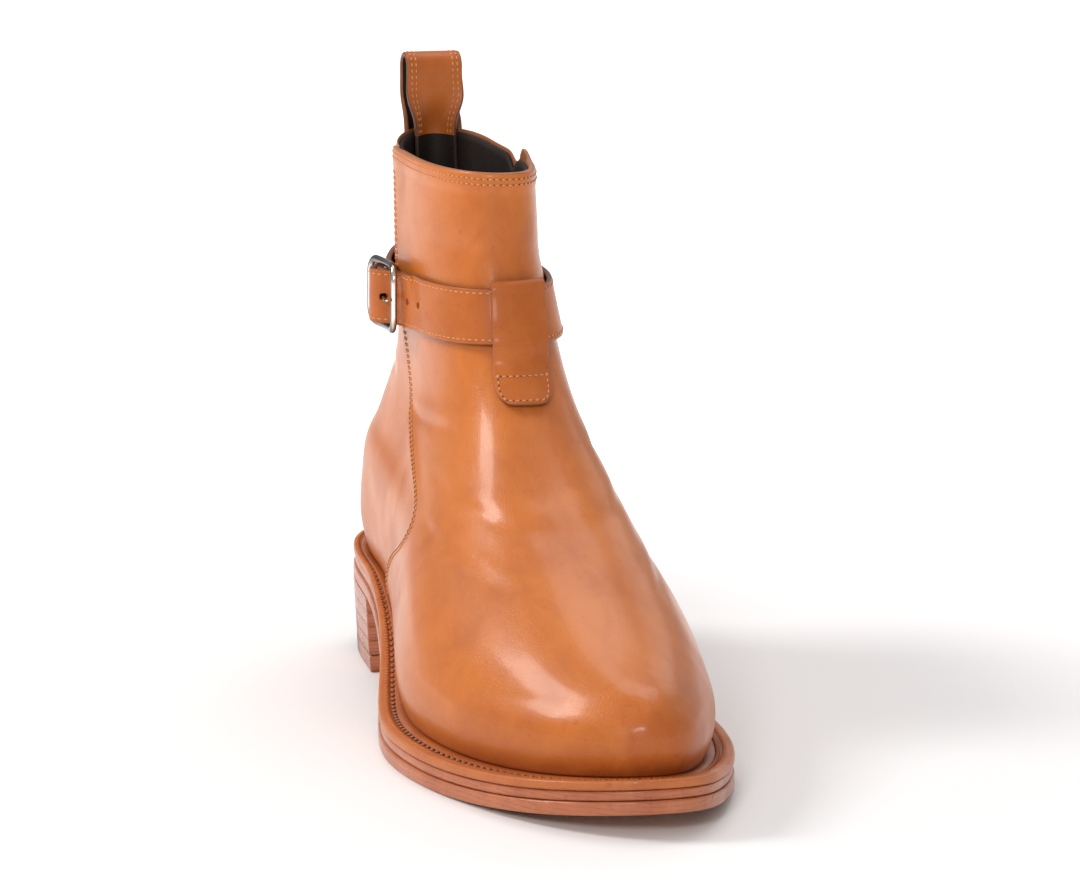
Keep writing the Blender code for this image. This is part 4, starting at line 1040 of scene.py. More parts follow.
def back_strip_centre():
    """Middle of the back strip: up the heel's back, over the strap, and folded into the pull loop."""
    columns = across_columns(9, STRIP_WIDTH)
    across = columns * STRIP_WIDTH
    count = len(columns)
    flat = STRIP_GAP + STRIP_THICKNESS / 2
    over = STRAP_GAP + STRAP_THICKNESS + TUNNEL_GAP + STRIP_THICKNESS / 2
    collar = COLLAR_BACK[2]
    near = np.array([0.0014, 0.0028, 0.0042])
    heights = np.concatenate([
        np.linspace(welt_height(0.0) + 0.0012, STRAP_LOW - 0.0060, 14), STRAP_LOW - near[::-1],
        np.linspace(STRAP_LOW, STRAP_HIGH, 7), STRAP_HIGH + near,
        np.linspace(STRAP_HIGH + 0.0060, collar - 0.0005, 8)])
    rows = []
    for height in heights:
        rise = rise_at(height, 0.0)[0]
        beyond = max(STRAP_LOW - height, height - STRAP_HIGH, 0.0)
        out = flat + (over - flat) * ease(1 - beyond / 0.0045 + 0.25)
        angle = angle_at(rise, across, 0.0, out)
        rows.append(surface_points(rise, angle, out))
    middle_column = count // 2
    curve = rows[-1][:, 0] - rows[-1][middle_column, 0]
    side = rows[-1][:, 1]
    outside = rows[-1][middle_column, 0]
    inside = COLLAR_BACK[0] + WALL + flat
    middle = (outside + inside) / 2
    radius = LOOP_DEPTH / 2
    crown = collar + LOOP_HEIGHT - radius - STRIP_THICKNESS / 2
    path = [(outside - 0.0002, collar + 0.0040, 0.80), (middle - radius, collar + 0.40 * LOOP_HEIGHT, 0.30),
            (middle - radius, collar + 0.68 * LOOP_HEIGHT, 0.15)]
    for turn in np.linspace(0, math.pi, 11):
        path.append((middle - radius * math.cos(turn), crown + radius * math.sin(turn), 0.12))
    path += [(middle + radius, collar + 0.68 * LOOP_HEIGHT, 0.15),
             (middle + radius, collar + 0.40 * LOOP_HEIGHT, 0.40)]
    for forward, height, bend in path:
        rows.append(np.column_stack([forward + curve * bend, side, np.full(count, height)]))
    settling = rows[-1][:, :2] + LOOP_SETTLE * (wall_inside(collar, across, flat) - rows[-1][:, :2])
    rows.append(np.column_stack([settling, np.full(count, collar + 0.0040)]))
    for height in np.linspace(collar - 0.0005, collar - LOOP_TUCK, 6):
        rows.append(np.column_stack([wall_inside(height, across, flat), np.full(count, height)]))
    return np.array(rows)


def strip_piece(name, centre, thickness, replaced, outer_side=1.0, lined_from=10 ** 6):
    """A leather strip, tan outside, dark on its flesh side; rows from lined_from on lie under the lining."""
    above, below, cut, shade, normal = ribbon(centre, thickness)
    marks = {"shade": np.stack([shade, shade]), "cut": np.stack([cut, cut])}
    piece = make_piece(name, shell(above, below, False), STRAP_TAN, replaced, marks)
    piece.data.materials.append(FLESH_AND_SHADE)
    rows, columns = above.shape[:2]
    half = rows * columns
    for polygon in piece.data.polygons:
        corners = np.array(polygon.vertices)
        row, column_at = np.divmod(corners % half, columns)
        flesh = (corners >= half).all() if outer_side > 0 else (corners < half).all()
        flesh = flesh and 3 < column_at.min() and column_at.max() < columns - 4
        if row.min() >= lined_from or flesh and 1 < row.min() and row.max() < rows - 2:
            polygon.material_index = 1
    return piece, normal


def tucked_row(centre):
    """First row of the back strip's inner end that lies below the collar."""
    height = centre[:, centre.shape[1] // 2, 2]
    top = int(height.argmax())
    return top + int(np.argmax(height[top:] < COLLAR_BACK[2] - 0.0015))


def build_back_strip():
    """Back strip with the strap's tunnel and the pull loop; returns its middle and its outward directions."""
    centre = finer(back_strip_centre(), 190)
    normal = strip_piece("back_strip_leather", centre, STRIP_THICKNESS, ("back_strip",), -1.0,
                         tucked_row(centre))[1]
    return centre, normal * (-1.0 if normal[5, 5, 0] > 0 else 1.0)


def buckle_frame():
    """Foot of the hinge bar on the covered leather, and the directions along, out and up there."""
    angle = np.radians(HINGE_ANGLE)
    rise = rise_at(STRAP_HEIGHT, angle)[0]
    foot = surface_points(rise, angle, PANEL_STEP)
    out = last_normals(rise, angle) * (1.0, 1.0, 0.0)
    out /= np.linalg.norm(out)
    up = np.array([0.0, 0.0, 1.0])
    along = np.cross(out, up)
    if along[0] < 0:
        along = -along
    return foot, along, out, up


BUCKLE = buckle_frame()


def at_buckle(along, out, up=0.0):
    """A point given in metres from the hinge bar's foot."""
    foot, forward, outward, upward = BUCKLE
    return foot + forward * along + outward * out + upward * up


def strap_levels(points):
    """Put the strap's lower edge, middle and upper edge at a local point of its middle."""
    return np.array([at_buckle(along, out, level)
                     for along, out in points for level in (-STRAP_WIDTH / 2, 0.0, STRAP_WIDTH / 2)]
                    ).reshape(-1, 3, 3)


def strap_path():
    """Control points of the strap at its lower edge, middle and upper edge, from the fold to the tip."""
    unit = STRAP_THICKNESS
    wrap = HINGE_BAR / 2 + GAP + unit / 2
    hinge = HINGE_OUT * unit
    chape, lower, billet = ([(along * unit, out * unit) for along, out in rows]
                            for rows in (CHAPE_ROWS, LOWER_ROWS, BILLET_ROWS))
    for turn in np.radians((90, 55, 20, -20, -55, -90)):
        chape.append((wrap * math.cos(turn), hinge + wrap * math.sin(turn)))
    chape += lower
    angles = np.radians(np.concatenate([
        np.arange(302, 345, 8), np.arange(345, 376, 6), np.arange(384, 610, 8)]))
    levels = []
    for level in (-STRAP_WIDTH / 2, 0.0, STRAP_WIDTH / 2):
        rise = rise_at(STRAP_HEIGHT + level, angles)
        out = STRAP_GAP + STRAP_THICKNESS / 2 + strap_cover(rise, angles)
        levels.append(surface_points(rise, angles, out))
    return np.concatenate([strap_levels(chape), np.stack(levels, 1), strap_levels(billet)])


def strap_centre(spacing=0.0011):
    """Fine grid of the strap's middle, with its rounded free tip."""
    path = strap_path()
    length = run_length(path[:, 1])
    fine = np.linspace(0, length[-1], int(length[-1] / spacing))
    three = spline(length, path, fine)
    share = across_columns(13, STRAP_WIDTH) * 2
    low, middle, high = three[:, 0:1], three[:, 1:2], three[:, 2:3]
    bowed = (low + high) / 2 - middle
    t = share[None, :, None]
    centre = middle + (high - low) / 2 * t + bowed * t ** 2
    to_tip = length[-1] - fine
    tip = np.clip(to_tip / (0.55 * STRAP_WIDTH), 0.0, 1.0)
    narrow = 0.20 + 0.80 * np.sqrt(1 - (1 - tip) ** 2)
    return middle + (centre - middle) * narrow[:, None, None]


def build_strap():
    """The ankle strap with its spare holes and the prong's slot; returns its middle and outward sides."""
    centre = strap_centre()
    piece, normal = strip_piece("ankle_strap_leather", centre, STRAP_THICKNESS, ("ankle_strap",))
    level = HINGE_OUT * STRAP_THICKNESS + (HINGE_BAR + PRONG) / 2 + GAP + 0.0001
    punch(piece, at_buckle(0.0010, level), at_buckle(0.0125, level), PRONG / 2 + GAP)
    for number in range(2):
        along = BUCKLE_LENGTH / 2 + 0.0040 + number * HOLE_PITCH
        punch(piece, at_buckle(along, -0.0003), at_buckle(along, 0.0090), HOLE_DIAMETER / 2)
    return centre, normal


def punch(piece, start, end, radius):
    """Drill a round hole through a piece."""
    drill = add_object("drill", solid_mesh("drill", tube([start, end], radius, 20, False)))
    change = piece.modifiers.new("punch", "BOOLEAN")
    change.operation = "DIFFERENCE"
    change.solver = "EXACT"
    change.object = drill
    settle(piece)
    bpy.data.objects.remove(drill)


def settle(piece):
    """Apply a piece's modifiers to its mesh."""
    bpy.context.view_layer.update()
    graph = bpy.context.evaluated_depsgraph_get()
    mesh = bpy.data.meshes.new_from_object(piece.evaluated_get(graph))
    piece.modifiers.clear()
    old = piece.data
    piece.data = mesh
    bpy.data.meshes.remove(old)
    mesh.name = piece.name


def tab_centre():
    """Middle of the front keeper from its sewn foot up over the strap."""
    columns = across_columns(11, TAB_WIDTH)
    across = columns * TAB_WIDTH
    count = len(columns)
    flat = PANEL_STEP + TAB_GAP + TAB_THICKNESS / 2
    over = PANEL_STEP + STRAP_GAP + STRAP_THICKNESS + TUNNEL_GAP + TAB_THICKNESS / 2
    turn = STRAP_HIGH + TUNNEL_GAP + TAB_THICKNESS / 2
    path = []
    for lift in np.array([0.0, 0.04, 0.12, 0.25, 0.45, 0.7, 1.0]) * TAB_CORNER:
        half = TAB_WIDTH / 2 - TAB_CORNER + math.sqrt(max(TAB_CORNER ** 2 - (TAB_CORNER - lift) ** 2, 0.0))
        path.append((TAB_BOTTOM + lift, flat, half / (TAB_WIDTH / 2)))
    path += [
        (STRAP_LOW - 0.0100, flat, 1.0), (STRAP_LOW - 0.0058, flat + 0.0002, 1.0),
        (STRAP_LOW - 0.0030, (flat + over) / 2, 1.0), (STRAP_LOW, over, 1.0),
        (STRAP_HEIGHT - 0.004, over, 1.0), (STRAP_HEIGHT + 0.003, over, 1.0),
        (STRAP_HIGH - 0.0020, over, 1.0),
        (turn - 0.0009, over - 0.0002, 1.0), (turn - 0.0001, over - 0.0009, 0.99),
        (turn + 0.0001, over - 0.0018, 0.97),
        (turn + 0.0001, PANEL_STEP + 0.0020, 0.96)]
    rows = []
    for height, out, width in path:
        rise = rise_at(height, math.pi)[0]
        middle = TAB_SIDE + TAB_DRIFT * (STRAP_HIGH - height) / (STRAP_HIGH - TAB_BOTTOM)
        angle = angle_at(rise, middle + across * width, math.pi, out)
        rows.append(surface_points(rise, angle, out))
    return np.array(rows)


def build_tab():
    """Front keeper over the strap; returns its middle and its outward directions."""
    centre = finer(tab_centre(), 90)
    normal = strip_piece("front_keeper_leather", centre, TAB_THICKNESS, ("front_tab",))[1]
    return centre, normal * (1.0 if normal[20, 5, 0] > 0 else -1.0)


def tube(path, radius, sides, closed, flatten=None):
    """Round bar along a path, with a frame carried from point to point; flatten squeezes it along one way."""
    path = np.asarray(path, float)
    count = len(path)
    tangent = np.roll(path, -1, 0) - np.roll(path, 1, 0) if closed else np.gradient(path, axis=0)
    tangent /= np.linalg.norm(tangent, axis=1, keepdims=True)
    radii = np.broadcast_to(radius, (count,))
    across = np.cross(tangent[0], (0.31, 0.23, 0.92))
    turns = np.linspace(0, TURN, sides, endpoint=False)
    rings = []
    for i in range(count):
        across = across - tangent[i] * np.dot(across, tangent[i])
        across /= np.linalg.norm(across)
        other = np.cross(tangent[i], across)
        ring = radii[i] * (np.cos(turns)[:, None] * across + np.sin(turns)[:, None] * other)
        if flatten is not None:
            way, share = flatten
            ring = ring - np.outer(ring @ way, way) * (1 - share)
        rings.append(path[i] + ring)
    points = np.concatenate(rings)
    faces = []
    for i in range(count if closed else count - 1):
        j = (i + 1) % count
        shift = 0
        if closed and j == 0:
            shift = int(np.linalg.norm(rings[0] - rings[-1][0], axis=1).argmin())
        faces += ring_faces(i * sides, j * sides, sides, shift)
    if not closed:
        faces.append(tuple(range(sides)))
        faces.append(tuple((count - 1) * sides + k for k in reversed(range(sides))))
    return points, faces


def frame_out(along):
    """Distance of the buckle's side bars from the leather, at a place along the buckle."""
    unit = STRAP_THICKNESS
    clear = unit / 2 + BAR_GAP + BUCKLE_BAR / 2
    along_rows, out_rows = np.array(BILLET_ROWS)[::-1].T * unit
    reach = np.linspace(-1, 1, 9) * BUCKLE_BAR * 0.6
    front, rear = (np.interp(end * BUCKLE_LENGTH / 2 + reach, along_rows, out_rows).max() + clear
                   for end in (1, -1))
    middle = HINGE_OUT * unit + 0.0006
    share = along / (BUCKLE_LENGTH / 2)
    return middle + (front - rear) / 2 * share + ((front + rear) / 2 - middle) * share ** 2


def build_buckle():
    """Rounded nickel frame with its hinge bar, and the prong lying on the front bar."""
    half_long = BUCKLE_LENGTH / 2
    half_high = BUCKLE_HEIGHT / 2 - BUCKLE_BAR / 2
    path = []
    for number, (front, top) in enumerate(((1, 1), (-1, 1), (-1, -1), (1, -1))):
        for turn in np.radians(90 * number + np.linspace(0, 90, 9)):
            along = front * (half_long - BUCKLE_CORNER) + BUCKLE_CORNER * math.cos(turn)
            up = top * (half_high - BUCKLE_CORNER) + BUCKLE_CORNER * math.sin(turn)
            path.append(at_buckle(along, frame_out(along), up))
        if top == front:
            for share in (0.5, 0.25, 0.0, -0.25, -0.5):
                along = front * share * half_long
                path.append(at_buckle(along, frame_out(along), top * half_high))
    ring = tube(path, BUCKLE_BAR / 2, 20, True, (BUCKLE[2], 0.82))
    make_piece("buckle_ring", ring, NICKEL, ("buckle_frame",))
    hinge = HINGE_OUT * STRAP_THICKNESS
    ends = [at_buckle(0.0, hinge, share * half_high) for share in np.linspace(-1, 1, 7)]
    bar = tube(ends, HINGE_BAR / 2, 16, False)
    make_piece("buckle_hinge_bar", bar, NICKEL, ("buckle_frame",))
    ring = (HINGE_BAR + PRONG) / 2 + GAP
    prong = [at_buckle(ring * math.cos(turn), hinge + ring * math.sin(turn))
             for turn in np.radians(np.concatenate([np.arange(-50, -180, -20), np.arange(170, 80, -20)]))]
    rest = frame_out(half_long) + (BUCKLE_BAR + PRONG) / 2 + GAP
    prong += [at_buckle(0.30 * half_long, hinge + ring + 0.0001), at_buckle(0.80 * half_long, rest),
              at_buckle(half_long + 0.0012, rest - 0.0002)]
    knots = np.arange(len(prong), dtype=float)
    fine = spline(knots, np.array(prong), np.linspace(0, knots[-1], 60))
    radius = PRONG / 2 * (1 - 0.35 * ease((np.linspace(0, 1, 60) - 0.55) / 0.45))
    radius[-3:] *= (0.92, 0.75, 0.45)
    make_piece("buckle_tongue", tube(fine, radius, 16, False), NICKEL, ("buckle_prong",))


# Sole and heel

SOLE_STEPS = 360
SOLE_ANGLES = np.linspace(0, TURN, SOLE_STEPS, endpoint=False)


def outline(angle, reach):
    """Plan outline (forward, side) of the last, moved outwards by the reach at each angle."""
    def plan(a):
        share = (1 - np.cos(a)) / 2
        side = np.where(np.mod(a, TURN) <= math.pi, 1.0, -1.0)
        return np.stack([share * LAST_LENGTH, plan_side(share, side)], -1)

    turn = plan(angle + 0.01) - plan(angle - 0.01)
    normal = np.stack([-turn[:, 1], turn[:, 0]], -1)
    normal /= np.linalg.norm(normal, axis=1, keepdims=True)
    return plan(angle) + normal * np.asarray(reach, float).reshape(-1, 1)


def edge_reach(angle, inset=0.0):
    """How far the sole's edge stands out past the last, from heel to toe."""
    share = (1 - np.cos(angle)) / 2
    return WELT_REACH_HEEL + (WELT_REACH_TOE - WELT_REACH_HEEL) * ease((share - 0.15) / 0.5) - inset


def feather_outline(angle, inset):
    """Plan outline of the upper's bottom edge, moved inwards."""
    ring = last_points(0.0, angle)[:, :2]
    turn = last_points(0.0, angle + 0.02)[:, :2] - last_points(0.0, angle - 0.02)[:, :2]
    normal = np.stack([-turn[:, 1], turn[:, 0]], -1)
    normal /= np.linalg.norm(normal, axis=1, keepdims=True)
    return ring - normal * inset


def raised(loop, height):
    """Give plan points (forward, side) a height."""
    return np.column_stack([loop, np.broadcast_to(height, len(loop))])


def across_pairs(count):
    """Pairs of facing points of a closed loop that starts at its back end."""
    half = count // 2
    return [(0, 0)] + [(i, count - i) for i in range(1, half)] + [(half, half)]


def lofted(loops, pairs):
    """Solid from closed loops, one above the other, its ends crossed by strips between paired points."""
    count = len(loops[0])
    points = np.concatenate(loops)
    faces = []
    last = (len(loops) - 1) * count
    for (a, b), (c, d) in zip(pairs, pairs[1:]):
        strip = list(dict.fromkeys((a, c, d, b)))
        faces.append(tuple(strip))
        faces.append(tuple(last + i for i in reversed(strip)))
    for level in range(len(loops) - 1):
        base = level * count
        for i in range(count):
            j = (i + 1) % count
            faces.append((base + i, base + count + i, base + count + j, base + j))
    return points, faces


def ring_faces(low, high, count, shift=0):
    """Faces between two closed rings of points, whose first points have the given numbers."""
    return [(low + k, low + (k + 1) % count, high + (k + 1 + shift) % count, high + (k + shift) % count)
            for k in range(count)]


def rounded_edge(thickness, radius, steps=4):
    """Insets and heights of a sole layer's edge, from its underside to its top."""
    turns = np.linspace(0, math.pi / 2, steps)
    low = [(radius * (1 - math.sin(t)), radius * (1 - math.cos(t))) for t in turns]
    high = [(inset, thickness - rise) for inset, rise in reversed(low)]
    return low + high


def sole_loops(inset, base, profile):
    """Loops of a sole layer for insets and heights of its edge."""
    loops = []
    for depth, rise in profile:
        loop = outline(SOLE_ANGLES, edge_reach(SOLE_ANGLES, inset + depth))
        loops.append(raised(loop, bottom_height(loop[:, 0]) + base + rise))
    return loops


def build_outsole():
    """Outsole with a waxed edge and a stitched channel round its underside."""
    share = (1 - np.cos(SOLE_ANGLES)) / 2
    loops = []
    for depth, rise in ((CHANNEL_INSET + CHANNEL_WIDTH, 0.0), (CHANNEL_INSET + 0.75 * CHANNEL_WIDTH, 1.0),
                        (CHANNEL_INSET + 0.25 * CHANNEL_WIDTH, 1.0), (CHANNEL_INSET, 0.0)):
        loop = outline(SOLE_ANGLES, edge_reach(SOLE_ANGLES, depth))
        fore = ease((loop[:, 0] - HEEL_LENGTH) / 0.004)
        loops.append(raised(loop, bottom_height(loop[:, 0]) + CHANNEL_DEPTH * rise * fore))
    loops += sole_loops(0.0, 0.0, rounded_edge(OUTSOLE_THICKNESS, EDGE_ROUND))
    points, faces = lofted(loops, across_pairs(SOLE_STEPS))
    # The channel is darker: raw cut leather, and painted shade in the groove
    in_channel = np.zeros(len(points))
    in_channel[SOLE_STEPS:3 * SOLE_STEPS] = np.tile(ease((share - 0.22) / 0.02), 2)
    marks = {"shade": 0.5 * in_channel, "cut": 0.5 * in_channel}
    piece = make_piece("outsole_bend", (points, faces), SOLE, ("outsole",), marks)
    piece.data.materials.append(EDGE)
    for polygon in piece.data.polygons:
        if min(polygon.vertices) >= 5 * SOLE_STEPS:
            polygon.material_index = 1


def build_midsole():
    """Midsole, a little inside the outsole's edge."""
    profile = rounded_edge(MIDSOLE_THICKNESS + GAP, EDGE_ROUND)
    loops = sole_loops(MIDSOLE_INSET, OUTSOLE_THICKNESS + GAP / 2, profile)
    make_piece("midsole_edge", lofted(loops, across_pairs(SOLE_STEPS)), EDGE, ("midsole",))


def welt_row(share, height):
    """Points on the welt between its edge (0) and the upper's foot (1), at a height over its top face."""
    outer = outline(SOLE_ANGLES, edge_reach(SOLE_ANGLES))
    inner = feather_outline(SOLE_ANGLES, -0.0014)
    loop = outer + (inner - outer) * share
    return raised(loop, welt_height(loop[:, 0]) + height)


def build_welt():
    """Welt with a stitch groove and a rounded edge."""
    base = OUTSOLE_THICKNESS + MIDSOLE_THICKNESS + 2 * GAP
    inside = feather_outline(SOLE_ANGLES, WALL)
    loops = [raised(inside, bottom_height(inside[:, 0]) + base)]
    loops += sole_loops(0.0, base, rounded_edge(WELT_THICKNESS, 0.0010, 5))
    for share, height in ((0.30, 0.00005), (0.40, -0.00005), (0.47, -0.00055), (0.55, -0.00075),
                          (0.63, -0.00075), (0.70, -0.00045), (0.78, -0.00010), (0.90, 0.0), (1.0, -0.0001)):
        loops.append(welt_row(share, height))
    loops.append(raised(inside, welt_height(inside[:, 0])))
    count = len(loops)
    faces = []
    for level in range(count):
        faces += ring_faces(level * SOLE_STEPS, (level + 1) % count * SOLE_STEPS, SOLE_STEPS)
    # Painted shade: darker in the stitch groove and in the corner against the upper
    shade = np.zeros((count, SOLE_STEPS))
    shade[13:18] = 0.35
    shade[18:] = 0.55
    marks = {"shade": shade, "cut": np.zeros((count, SOLE_STEPS))}
    make_piece("welt_leather", (np.concatenate(loops), faces), WELT, ("welt",), marks)


def heel_loop(start, end, inset, steps=46):
    """Plan loop of the heel between two places forward: inside edge backwards, outside edge forwards."""
    angle = np.linspace(0, 1.4, 400)
    sides = []
    for turn in (1.0, -1.0):
        edge = outline(turn * angle, edge_reach(angle, inset))
        first = max(start, edge[0, 0])
        share = np.linspace(0.0, 1.0, steps)
        spread = share ** 2 if start < edge[0, 0] else share
        forward = first + (end - first) * spread
        sides.append(np.column_stack([forward, np.interp(forward, edge[:, 0], edge[:, 1])]))
    inside, outside = sides
    if start < 0:
        outside = outside[1:]
    return np.concatenate([inside[::-1], outside])


def facing_pairs(count):
    """Pairs of facing points of a loop that starts at one front corner and ends at the other."""
    return [(i, count - 1 - i) for i in range((count + 1) // 2)]


def heel_layer(start, end, base, top, soften=0.00012):
    """One heel layer with softened edges; top is a height, or None under the outsole."""
    loops = []
    top_height = HEEL_HEIGHT if top is None else top
    levels = [(base, soften), (base + soften, 0.0), (top_height - soften, 0.0), (top_height, soften)]
    for number, (height, extra) in enumerate(levels):
        taper = HEEL_TAPER * (1 - min(height, HEEL_HEIGHT) / HEEL_HEIGHT)
        loop = heel_loop(start, end - extra, taper + extra)
        if top is None and number >= 2:
            height = bottom_height(loop[:, 0]) - GAP / 3 - (soften if number == 2 else 0.0)
        loops.append(raised(loop, height))
    return lofted(loops, facing_pairs(len(loops[0])))


def build_heel():
    """Stacked lifts and the top piece: leather in front, rubber behind."""
    rubber_solid = heel_layer(-1.0, RUBBER_LENGTH - GAP / 2, 0.0, TOP_PIECE_THICKNESS, 0.0005)
    make_piece("top_piece_rubber", rubber_solid, RUBBER, ("heel_tip_rubber",))
    leather_solid = heel_layer(RUBBER_LENGTH + GAP / 2, HEEL_LENGTH, 0.0, TOP_PIECE_THICKNESS, 0.0004)
    tip = make_piece("top_piece_leather", leather_solid, STACKED, ("heel_tip_leather",))
    tip.data.materials.append(SOLE)
    for polygon in tip.data.polygons:
        if all(tip.data.vertices[i].co.z < 0.00001 for i in polygon.vertices):
            polygon.material_index = 1
    base = TOP_PIECE_THICKNESS + GAP
    lift = (HEEL_HEIGHT - base) / HEEL_LIFTS
    for number in range(1, HEEL_LIFTS + 1):
        solid = heel_layer(-1.0, HEEL_LENGTH, base, None if number == HEEL_LIFTS else base + lift - GAP / 3)
        replaced = ("heel_lift_%d" % number,)
        make_piece("heel_lift_leather_%d" % number, solid, STACKED, replaced)
        base += lift


# Stitches, wheel marks and nails

SIZE_NAMES = ("Pitch", "Length", "Width", "Height")


def repeat_tree(name, material, kind):
    """Geometry Nodes tree that sets one small shape along every path at a pitch."""
    tree = bpy.data.node_groups.new(name, "GeometryNodeTree")
    socket(tree, "Paths", "NodeSocketGeometry")
    for label in SIZE_NAMES:
        socket(tree, label, "NodeSocketFloat", 0.001)
    socket(tree, "Pieces", "NodeSocketGeometry", way="OUTPUT")
    start = tree.nodes.new("NodeGroupInput").outputs
    end = tree.nodes.new("NodeGroupOutput")
    curve = put(tree, "GeometryNodeMeshToCurve", Mesh=start["Paths"]).outputs["Curve"]
    spaced = put(tree, "GeometryNodeResampleCurve", Curve=curve)
    spaced.mode = "LENGTH"
    tree.links.new(start["Pitch"], spaced.inputs["Length"])
    up = tree.nodes.new("GeometryNodeInputNamedAttribute")
    up.data_type = "FLOAT_VECTOR"
    up.inputs["Name"].default_value = "up"
    turn = tree.nodes.new("FunctionNodeAxesToRotation")
    turn.primary_axis = "X"
    turn.secondary_axis = "Z"
    tree.links.new(tree.nodes.new("GeometryNodeInputTangent").outputs["Tangent"], turn.inputs["Primary Axis"])
    tree.links.new(up.outputs["Attribute"], turn.inputs["Secondary Axis"])
    if kind == "nail":
        shape = put(tree, "GeometryNodeMeshCylinder", Vertices=12, Radius=0.5, Depth=1.0)
    else:
        shape = put(tree, "GeometryNodeMeshUVSphere", Segments=7, Rings=5, Radius=0.5)
    size = put(tree, "ShaderNodeCombineXYZ", X=start["Length"], Y=start["Width"], Z=start["Height"])
    placed = put(tree, "GeometryNodeInstanceOnPoints", Points=spaced.outputs["Curve"],
                 Instance=shape.outputs["Mesh"], Rotation=turn.outputs["Rotation"],
                 Scale=size.outputs["Vector"])
    real = put(tree, "GeometryNodeRealizeInstances", Geometry=placed.outputs["Instances"])
    smooth = put(tree, "GeometryNodeSetShadeSmooth", Geometry=real.outputs["Geometry"])
    look = put(tree, "GeometryNodeSetMaterial", Geometry=smooth.outputs["Geometry"], Material=material)
    tree.links.new(look.outputs["Geometry"], end.inputs["Pieces"])
    return tree


def repeat_along(name, rows, sizes, material, kind="stitch"):
    """One joined piece of a small shape repeated along rows of (points, upward directions)."""
    points, ups, edges = [], [], []
    for path, up in rows:
        base = len(points)
        points += [tuple(point) for point in to_world(path)]
        ups += [tuple(way) for way in to_world_direction(up)]
        edges += [(base + i, base + i + 1) for i in range(len(path) - 1)]
    mesh = bpy.data.meshes.new(name)
    mesh.from_pydata(points, edges, [])
    mark = mesh.attributes.new("up", "FLOAT_VECTOR", "POINT")
    mark.data.foreach_set("vector", np.array(ups, np.float32).ravel())
    piece = add_object(name, mesh)
    tree = repeat_tree(name + "_rows", material, kind)
    change = piece.modifiers.new("rows", "NODES")
    change.node_group = tree
    inputs = {item.name: item.identifier for item in tree.interface.items_tree if item.in_out == "INPUT"}
    for label, value in zip(SIZE_NAMES, sizes):
        change[inputs[label]] = value
    settle(piece)
    return dress(piece)


def columns_at(places, known, grid):
    """Points (or directions) of a path read at places along it."""
    return np.stack([np.interp(places, known, column_values) for column_values in np.asarray(grid).T], -1)


def smooth_row(path, up, steps=240):
    """A row's points and directions spread evenly along it."""
    length = run_length(path)
    fine = np.linspace(0, length[-1], steps)
    return columns_at(fine, length, path), columns_at(fine, length, up)


def panel_row(side, inset, start, end, out):
    """A row of stitches along the front panel's edge: side is 0 for inside and 1 for outside."""
    rise = np.linspace(start, end, 160)
    edge = edge_angles(rise)[side]
    angle = edge + (1 if side == 0 else -1) * inset / ring_metric(rise, edge)
    off = out + panel_flare(rise, angle) - fold_depth(rise, angle)
    return smooth_row(surface_points(rise, angle, off), last_normals(rise, angle))


def collar_row(start, end, rise, out):
    """A row of stitches round the collar between two ring angles."""
    angle = np.linspace(start, end, 200)
    return smooth_row(surface_points(rise, angle, out), last_normals(rise, angle))


def strip_row(centre, normal, thickness, column_share, start, end):
    """A row of stitches along a strip at a share across it, between two shares of its length."""
    rows = len(centre)
    place = across_length(centre)
    place = place / place[:, -1:]
    points, ways = [], []
    for row in range(int(start * (rows - 1)), int(end * (rows - 1)) + 1):
        way = columns_at(column_share, place[row], normal[row])
        points.append(columns_at(column_share, place[row], centre[row]) + way * thickness / 2)
        ways.append(way)
    return smooth_row(points, ways)


def strip_cross_row(centre, normal, thickness, share, inset=0.09):
    """A row of stitches across a strip at a share of its length."""
    row = int(share * (len(centre) - 1))
    points = centre[row] + normal[row] * thickness / 2
    place = run_length(centre[row])
    place = place / place[-1]
    at = np.linspace(inset, 1 - inset, 40)
    return smooth_row(columns_at(at, place, points), columns_at(at, place, normal[row]), 80)


def share_at_height(centre, height):
    """Share of a strip's rows at which its middle reaches a height on the way up."""
    middle = centre[:, centre.shape[1] // 2, 2]
    top = int(middle.argmax())
    return np.interp(height, middle[:top], np.arange(top)) / (len(centre) - 1)


def needle_rows(rows, pitch):
    """The same rows started half a pitch later, for the painted shade of the needle holes between stitches.
    """
    moved = []
    for path, up in rows:
        length = np.linalg.norm(np.diff(path, axis=0), axis=1).cumsum()
        first = int(np.searchsorted(length, pitch / 2)) + 1
        moved.append((path[first:], up[first:]))
    return moved


def sew(name, rows, sizes, material):
    """Rows of stitches, and dark spots between them: painted shade in the needle holes."""
    repeat_along(name, rows, sizes, material)
    pitch, length, width, height = sizes
    # Small dark spots as painted shade in the needle holes
    hole = (pitch, (pitch - length) * 1.7, width, height * 0.66)
    repeat_along(name + "_hole_shades", needle_rows(rows, pitch), hole, NEEDLE_HOLE_SHADE)


